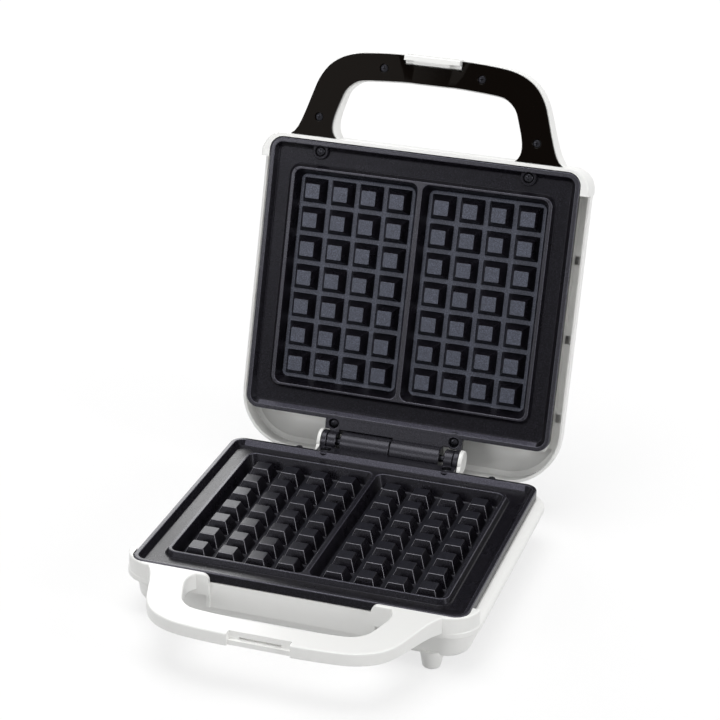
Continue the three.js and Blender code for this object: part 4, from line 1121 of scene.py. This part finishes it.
def lid_shell():
    """A crown, an edge, a trough beside the plate, and the ledge that the plate lies on."""
    outer_round, inner_round, trough_fillet, side_run = 0.8, 0.6, 1.2, 3
    edge = softened(
        [
            (0, SHOULDER_LEVEL - side_run, 0), (0, SHOULDER_LEVEL, outer_round),
            (WALL, SHOULDER_LEVEL, inner_round), (WALL, TROUGH_LEVEL, trough_fillet),
            (TROUGH_INNER, TROUGH_LEVEL, outer_round), (TROUGH_INNER, SEAT_LEVEL, 0),
        ]
    )
    outside = stacked(LID_PLAN, lid_section(0) + edge)
    ledge = [(WALL, TROUGH_LEVEL - WALL), (LID_LEDGE, TROUGH_LEVEL - WALL), (LID_LEDGE, OVERRUN)]
    inside = stacked(LID_PLAN, lid_section(WALL)[:-1] + ledge)
    below_trough = TROUGH_LEVEL - 2 * WALL
    rear = box(-BEYOND, BEYOND, PLATE_HALF_DEPTH + PLATE_FIT, BEYOND, BELOW, ABOVE)
    rear_opening = combined(
        stacked(LID_PLAN, [(WALL, below_trough), (WALL, OVERRUN)]), ("keep", rear)
    )
    face_sunk, top_sunk = 0.2, 0.1  # the wall lies just inside the rim that it stiffens
    front_wall = box(
        -HANDLE_ROOT, HANDLE_ROOT,
        -SHELL_FRONT + face_sunk, -PLATE_HALF_DEPTH - PLATE_FIT - face_sunk,
        TROUGH_LEVEL - WALL, BUMPER_TOP - top_sunk,
    )
    steps = [
        ("cut", inside),
        ("cut", rear_opening),
        ("add", front_rim(LID_PLAN, TROUGH_LEVEL - WALL / 2)),
        ("add", front_wall),
    ]
    for side in (-1, 1):
        near, end = sorted(
            (side * (PLATE_HALF_WIDTH + PLATE_FIT - WALL), side * (SHELL_HALF_WIDTH - WALL))
        )
        for y in VENT_PLACES:
            half = VENT_LENGTH / 2
            steps.append(("cut", box(near, end, y - half, y + half, below_trough, OVERRUN)))
    liner_seat = BUMPER_TOP - LINER_THICKNESS - CLEARANCE
    handle = combined(
        arch(-SHELL_FRONT + HANDLE_OVERLAP, liner_seat, LID_BAR, LID_ARM, HANDLE_EDGE),
        ("cut", latch_pocket()),
        solver="EXACT",
    )
    steps.append(("add", handle))
    pin_y, pin_start, pin_end = LATCH_FRONT + LATCH_HEAD / 2, LATCH_WIDTH / 2 - 0.5, 27.5
    hole_low, hole_high = -LID_DEPTH - 3, -LID_DEPTH + 9
    for side in (-1, 1):
        x0, x1 = sorted((side * pin_start, side * pin_end))
        x = side * LAMP_X
        steps.append(("cut", bar(LATCH_PIN_BORE, x0, x1, pin_y, -LATCH_PIN_DEPTH)))
        steps.append(("cut", disc(LAMP_HOLE_RADIUS, hole_low, hole_high, x, LAMP_Y, SCREW_STEPS)))
    return combined(outside, *steps)


def latch_pocket():
    """The room in the lid's handle and its liner in which the latch turns."""
    half = LATCH_WIDTH / 2 + LATCH_GAP
    back = LATCH_FRONT + LATCH_HEAD + LATCH_GAP
    low = -LATCH_PIN_DEPTH - LATCH_HEAD / 2 - LATCH_GAP
    return box(-half, half, POCKET_FRONT, back, low, POCKET_TOP)


def liner():
    """The black face of the lid's handle, with wells for its screws."""
    shank, well, flare = LINER_SCREW[2] + CLEARANCE, LINER_SCREW[0] + CLEARANCE, 3.7
    well_floor, flare_low, flare_high = -2.3, BUMPER_TOP - 0.3, BUMPER_TOP + 0.1
    made = arch(
        -SHELL_FRONT - CLEARANCE, BUMPER_TOP, LINER_THICKNESS, LINER_THICKNESS, LINER_EDGE,
        LINER_INSET,
    )
    profile = [
        (well, well_floor), (well, flare_low), (flare, flare_high), (flare, 2 * OVERRUN),
    ]
    steps = [("cut", latch_pocket())]
    for x, y in LINER_SCREWS:
        steps.append(("cut", disc(shank, -2 * LINER_THICKNESS - OVERRUN, 2 * OVERRUN, x, y)))
        steps.append(("cut", turned(profile, (x, y, 0), "Z", SCREW_STEPS)))
    return combined(made, *steps)


def latch():
    """The latch: a blade on a round head, with a tooth along its end."""
    half, catch = LATCH_WIDTH / 2, CATCH_WIDTH / 2
    back, head_back = LATCH_FRONT + LATCH_BLADE, LATCH_FRONT + LATCH_HEAD
    step, chamfer = -0.9, 0.4  # where the head steps back to the blade, and its chamfers
    front_round, round_rise = 1.1, 0.3  # the front edge that the finger meets
    block = across(
        [
            (LATCH_FRONT, -LATCH_PIN_DEPTH), (head_back, -LATCH_PIN_DEPTH),
            (head_back, step - chamfer), (head_back - chamfer, step), (back, step),
            (back, LATCH_REACH - chamfer), (back - chamfer, LATCH_REACH),
            (LATCH_FRONT + front_round, LATCH_REACH),
            (LATCH_FRONT + chamfer, LATCH_REACH - round_rise),
            (LATCH_FRONT, LATCH_REACH - front_round),
        ],
        -half,
        half,
    )
    tooth_low, tooth_root, ramp_start = LATCH_REACH - CATCH_HEIGHT, back - 1, back + 0.3
    tooth = across(
        [
            (tooth_root, tooth_low), (back + CATCH_REACH, tooth_low),
            (back + CATCH_REACH, LATCH_REACH - CATCH_CHAMFER), (ramp_start, LATCH_REACH),
            (tooth_root, LATCH_REACH),
        ],
        -catch,
        catch,
    )
    y = LATCH_FRONT + LATCH_HEAD / 2
    bore = bar(LATCH_PIN_BORE, -half - OVERRUN, half + OVERRUN, y, -LATCH_PIN_DEPTH)
    return combined(
        block,
        ("add", bar(LATCH_HEAD / 2, -half, half, y, -LATCH_PIN_DEPTH)),
        ("add", tooth),
        ("cut", bore),
    )


# Small pieces
def screw(sizes, x, y, top, upside_down=False):
    """A pan-head screw with a cross recess and a threaded shank."""
    head, height, shank, length = sizes
    tip, point, thread_start, bare_neck = 0.2, 1.2, 1.4, 2
    head_top, dome = 0.3, 0.6993  # shares of the head's radius
    crown_steps, step = 4, 0.01  # the step keeps the shank's end off the head
    profile = [(tip, -length), (shank - 0.4, -length + point)]
    for i in range(int((length - height - bare_neck) / THREAD_PITCH)):
        z = -length + thread_start + i * THREAD_PITCH
        profile += [(shank - THREAD_DEPTH, z), (shank, z + THREAD_PITCH / 2)]
    profile += [(shank, -height - step), (head, -height), (head, -height * HEAD_BEND)]
    for k in range(1, crown_steps + 1):
        angle = math.pi / 2 * k / crown_steps
        radius = head * (head_top + dome * math.cos(angle))
        profile.append((radius, -height * HEAD_BEND * (1 - math.sin(angle))))
    body = turned(profile, (0, 0, 0), "Z", SCREW_STEPS)
    arm, half = head * 0.55, head * 0.13
    taper, corner, recess_depth, recess_top = 0.6, 0.05, 1.4, 0.3
    cross = [
        loft([ring(rectangle(a * taper, b * taper, corner), -recess_depth, steps=1),
              ring(rectangle(a, b, corner), recess_top, steps=1)])
        for a, b in ((arm, half), (half, arm))
    ]
    made = combined(body, ("cut", cross[0]), ("cut", cross[1]))
    if upside_down:
        made.data.transform(Matrix.Rotation(math.pi, 4, "X"))
    made.data.transform(Matrix.Translation((x, y, top)))
    return made


def pad(x, y):
    """A round foot pad, softened where it meets the table."""
    middle, edge = 0.3, 0.4
    line = softened([(middle, 0, 0), (PAD_RADIUS, 0, edge), (PAD_RADIUS, PAD_HEIGHT, 0)])
    return turned(line, (x, y, -PARTING_HEIGHT), "Z", FOOT_STEPS)


def gland():
    """A ribbed rubber sleeve where the cord leaves the pan."""
    back = BASE_BACK - PAN_INSET + CLEARANCE
    neck, collar, flange, rib_foot, rib_top = 3.9, 5, 4.9, 3.8, 4.3  # radii
    ribs, rib_pitch, step = 3, 1.4, 0.1
    collar_start, collar_end, flange_end = back - 10, back - 8.2, back + 1.8
    outer = [
        (neck, collar_start), (collar, collar_start + step),
        (collar, collar_end - step), (neck, collar_end),
        (neck, back), (flange, back + step / 2), (flange, flange_end - step),
    ]
    for i in range(ribs):
        y = flange_end + i * rib_pitch
        groove_end, rib_end = y + 0.6, y + rib_pitch - step
        outer += [
            (rib_foot, y), (rib_foot, groove_end), (rib_top, groove_end + step), (rib_top, rib_end),
        ]
    sleeve = turned(outer, GLAND_PLACE, "Y", SCREW_STEPS)
    bore = [(CORD_BORE_RADIUS, back - 12), (CORD_BORE_RADIUS, back + 9)]
    return combined(sleeve, ("cut", turned(bore, GLAND_PLACE, "Y", SCREW_STEPS)))


def lens(x):
    """A lamp's lens, domed, in its hole in the crown of the lid."""
    radius, face, back = LAMP_HOLE_RADIUS - CLEARANCE, -LID_DEPTH - 0.8, -LID_DEPTH + 4.2
    middle, dome, steps = 0.3, 1.2, 6
    line = softened([(middle, face, 0), (radius, face, dome), (radius, back, 0)], steps)
    return turned(line, (x, LAMP_Y, 0), "Z", SCREW_STEPS)


# The whole waffle maker
finished("griddle_lower", griddle(False), "base", "coated_casting", "lower_plate",
         LOWER_COATS, highlight_zone)
finished("griddle_upper", griddle(True), "lid", "coated_casting", "upper_plate",
         UPPER_COATS, coat_zone)
finished("base_shell", base_shell(), "base", "white_plastic", "base_housing")
finished("base_pan", bottom_pan(), "base", "white_plastic", "bottom_pan")
finished("lid_shell", lid_shell(), "lid", "white_plastic", "lid_housing")
finished("lid_handle_liner", liner(), "lid", "black_gloss", "handle_liner")
finished("latch_catch", latch(), "latch", "white_plastic", "latch")
hinge_rod = bar(PIN_RADIUS, *PIN_ENDS, PIN_Y, 0, PIN_EDGE)
finished("hinge_rod", hinge_rod, "base", "dark_steel", "hinge_pin")
finished("cord_sleeve", gland(), "base", "grey_rubber", "cord_gland")

CORNER_NAMES = ("left_front", "left_rear", "right_front", "right_rear")
for name, (x, y) in zip(CORNER_NAMES, FOOT_PLACES):
    finished("pad_" + name, pad(x, y), "base", "grey_rubber", "foot_pad_" + name)
PAN_SCREW_TOP = -PAN_DEPTH + PAN_SCREW_RECESS - CLEARANCE - PAN_SCREW[1]
for name, (x, y) in zip(CORNER_NAMES, PAN_SCREW_PLACES):
    made = screw(PAN_SCREW, x, y, PAN_SCREW_TOP, upside_down=True)
    finished("screw_pan_" + name, made, "base", "bright_steel", "pan_screw_" + name)

SCREW_TOP = RIM_LEVEL - BOSS_SEAT_DEPTH + CLEARANCE + PLATE_SCREW[1]
LOWER_SCREW_RISE = 0.9  # the lower plate's screws show higher in their wells
for side, name in ((-1, "left"), (1, "right")):
    made = screw(PLATE_SCREW, side * REAR_BOSS_X, REAR_BOSS_Y, SCREW_TOP + LOWER_SCREW_RISE)
    finished("screw_lower_" + name, made, "base", "dark_steel", "lower_plate_screw_" + name)
for side, name in ((-1, "right"), (1, "left")):
    for end, x, y in (("rear", REAR_BOSS_X, REAR_BOSS_Y), ("front", FRONT_BOSS_X, FRONT_BOSS_Y)):
        made = screw(PLATE_SCREW, side * x, y, SCREW_TOP)
        at = f"{end}_{name}"
        finished("screw_upper_" + at, made, "lid", "dark_steel", "upper_plate_screw_" + at)
LINER_SCREW_TOP = BUMPER_TOP - 0.2
for (x, y), name in zip(LINER_SCREWS, ("right_root", "right_bar", "left_root", "left_bar")):
    made = screw(LINER_SCREW, x, y, LINER_SCREW_TOP)
    finished("screw_liner_" + name, made, "lid", "dark_steel", "liner_screw_" + name)
for x, name, slot in ((-LAMP_X, "power", "amber_lens"), (LAMP_X, "ready", "green_lens")):
    finished("lens_" + name, lens(x), "lid", slot, name + "_lamp_lens")

# Inner pieces stay as the frame has them and get their finish
INNER = {
    "lower_heater": BLACK_STEEL, "upper_heater": BLACK_STEEL, "latch_pin": BRIGHT_STEEL,
    "lower_reflector": BRIGHT_STEEL, "upper_reflector": BRIGHT_STEEL,
    "lower_thermostat": CERAMIC, "upper_thermostat": CERAMIC, "thermal_fuse": CERAMIC,
    "terminal_block": BROWN_RESIN, "lamp_board": BROWN_RESIN,
}
for node, material in INNER.items():
    piece = frame["nodes"][node]
    piece.data.materials.clear()
    piece.data.materials.append(material)

# Camera, as it was fitted to the photograph
CAMERA = Vector((439.77, -1439.08, 822.41)) * MM
AZIMUTH, ELEVATION, ROLL = (math.radians(a) for a in (16.8431, 23.5969, 1.7389))
FOCAL_PIXELS = 2319.64
PHOTO_PIXELS = 720
SENSOR = 36
forward = Vector(
    (-math.sin(AZIMUTH) * math.cos(ELEVATION), math.cos(AZIMUTH) * math.cos(ELEVATION),
     -math.sin(ELEVATION))
)
right = Vector((math.cos(AZIMUTH), math.sin(AZIMUTH), 0))
up = right.cross(forward)
rolled_right = right * math.cos(ROLL) + up * math.sin(ROLL)
rolled_up = up * math.cos(ROLL) - right * math.sin(ROLL)
camera_data = bpy.data.cameras.new("camera")
camera_data.sensor_width = SENSOR
camera_data.lens = FOCAL_PIXELS / PHOTO_PIXELS * SENSOR
camera_data.clip_end = 50
camera = bpy.data.objects.new("camera", camera_data)
turn = Matrix((rolled_right, rolled_up, -forward)).transposed().to_4x4()
camera.matrix_world = Matrix.Translation(CAMERA) @ turn
scene.collection.objects.link(camera)
scene.camera = camera


# Studio
def seen_ray(tree):
    """1 for what the camera sees, itself or in a reflection or through a clear piece."""
    path = add_node(tree, "ShaderNodeLightPath").outputs
    seen = path["Is Camera Ray"]
    for kind in ("Is Glossy Ray", "Is Transmission Ray"):
        either = add_node(
            tree, "ShaderNodeMath", {"operation": "MAXIMUM"}, _0=seen, _1=path[kind]
        )
        seen = either.outputs[0]
    return seen


DAYLIGHT = 0.36
world = bpy.data.worlds.new("studio")
scene.world = world
world.use_nodes = True
sky = world.node_tree
background = sky.nodes["Background"]
strength = add_node(sky, "ShaderNodeMapRange", Value=seen_ray(sky), _3=DAYLIGHT, _4=1.0)
background.inputs["Color"].default_value = linear("#FFFFFF")
sky.links.new(strength.outputs["Result"], background.inputs["Strength"])


def lamp(name, place, aim, size, power):
    """A softbox that stands at a place and faces another."""
    data = bpy.data.lights.new(name, "AREA")
    data.shape, data.size, data.size_y, data.energy = "RECTANGLE", size[0], size[1], power
    light = bpy.data.objects.new(name, data)
    light.location = place
    light.rotation_mode = "QUATERNION"
    light.rotation_quaternion = (Vector(aim) - Vector(place)).to_track_quat("-Z", "Y")
    scene.collection.objects.link(light)


# Places in metres, power in watts
lamp("overhead_softbox", (-0.2, -0.2, 2.2), (0, 0, 0.1), (1.6, 1.4), 25)
lamp("front_left_softbox", (-0.95, -1.95, 0.85), (0, 0, 0.2), (0.75, 0.75), 8.5)
lamp("right_softbox", (2.1, -0.6, 0.8), (0, 0, 0.15), (0.5, 1.2), 16)
lamp("rear_left_softbox", (-1.2, 2.3, 1.2), (0, 0, 0.1), (1.2, 0.8), 14)


def white_paper():
    """White paper: it shines evenly away from the waffle maker, takes a soft shadow near it,
    and throws less light back at the sides of the mouldings than it shows."""
    shadow_radius, clear_radius = 0.25, 0.75
    least_shine, full_white = 0.68, 1.04
    paper, tree, shader = surface("white_paper_sweep", Base_Color=linear("#F6F6F6"), Roughness=0.9)
    distance = add_node(
        tree, "ShaderNodeVectorMath", {"operation": "LENGTH"},
        _0=add_node(tree, "ShaderNodeTexCoord").outputs["Object"],
    )
    shine = add_node(
        tree, "ShaderNodeMapRange", {"interpolation_type": "SMOOTHSTEP"},
        Value=distance.outputs["Value"],
        _1=shadow_radius, _2=clear_radius, _3=least_shine, _4=1.0,
    )
    glow = add_node(tree, "ShaderNodeEmission", Color=linear("#FFFFFF"), Strength=full_white)
    shaded = add_node(
        tree, "ShaderNodeMixShader",
        _0=shine.outputs["Result"], _1=shader.outputs[0], _2=glow.outputs[0],
    )
    thrown_back = add_node(tree, "ShaderNodeBsdfDiffuse", Color=linear("#C4C4C4"))
    mixed = add_node(
        tree, "ShaderNodeMixShader",
        _0=seen_ray(tree), _1=thrown_back.outputs[0], _2=shaded.outputs[0],
    )
    tree.links.new(mixed.outputs[0], tree.nodes["Material Output"].inputs["Surface"])
    return paper


FLOOR_REACH = 6
CORNERS = ((-1, -1), (1, -1), (1, 1), (-1, 1))
floor_points = [(x * FLOOR_REACH, y * FLOOR_REACH, 0) for x, y in CORNERS]
floor = made_solid(floor_points, [(0, 1, 2, 3)])
floor.name = floor.data.name = "floor"
floor.data.materials.append(white_paper())
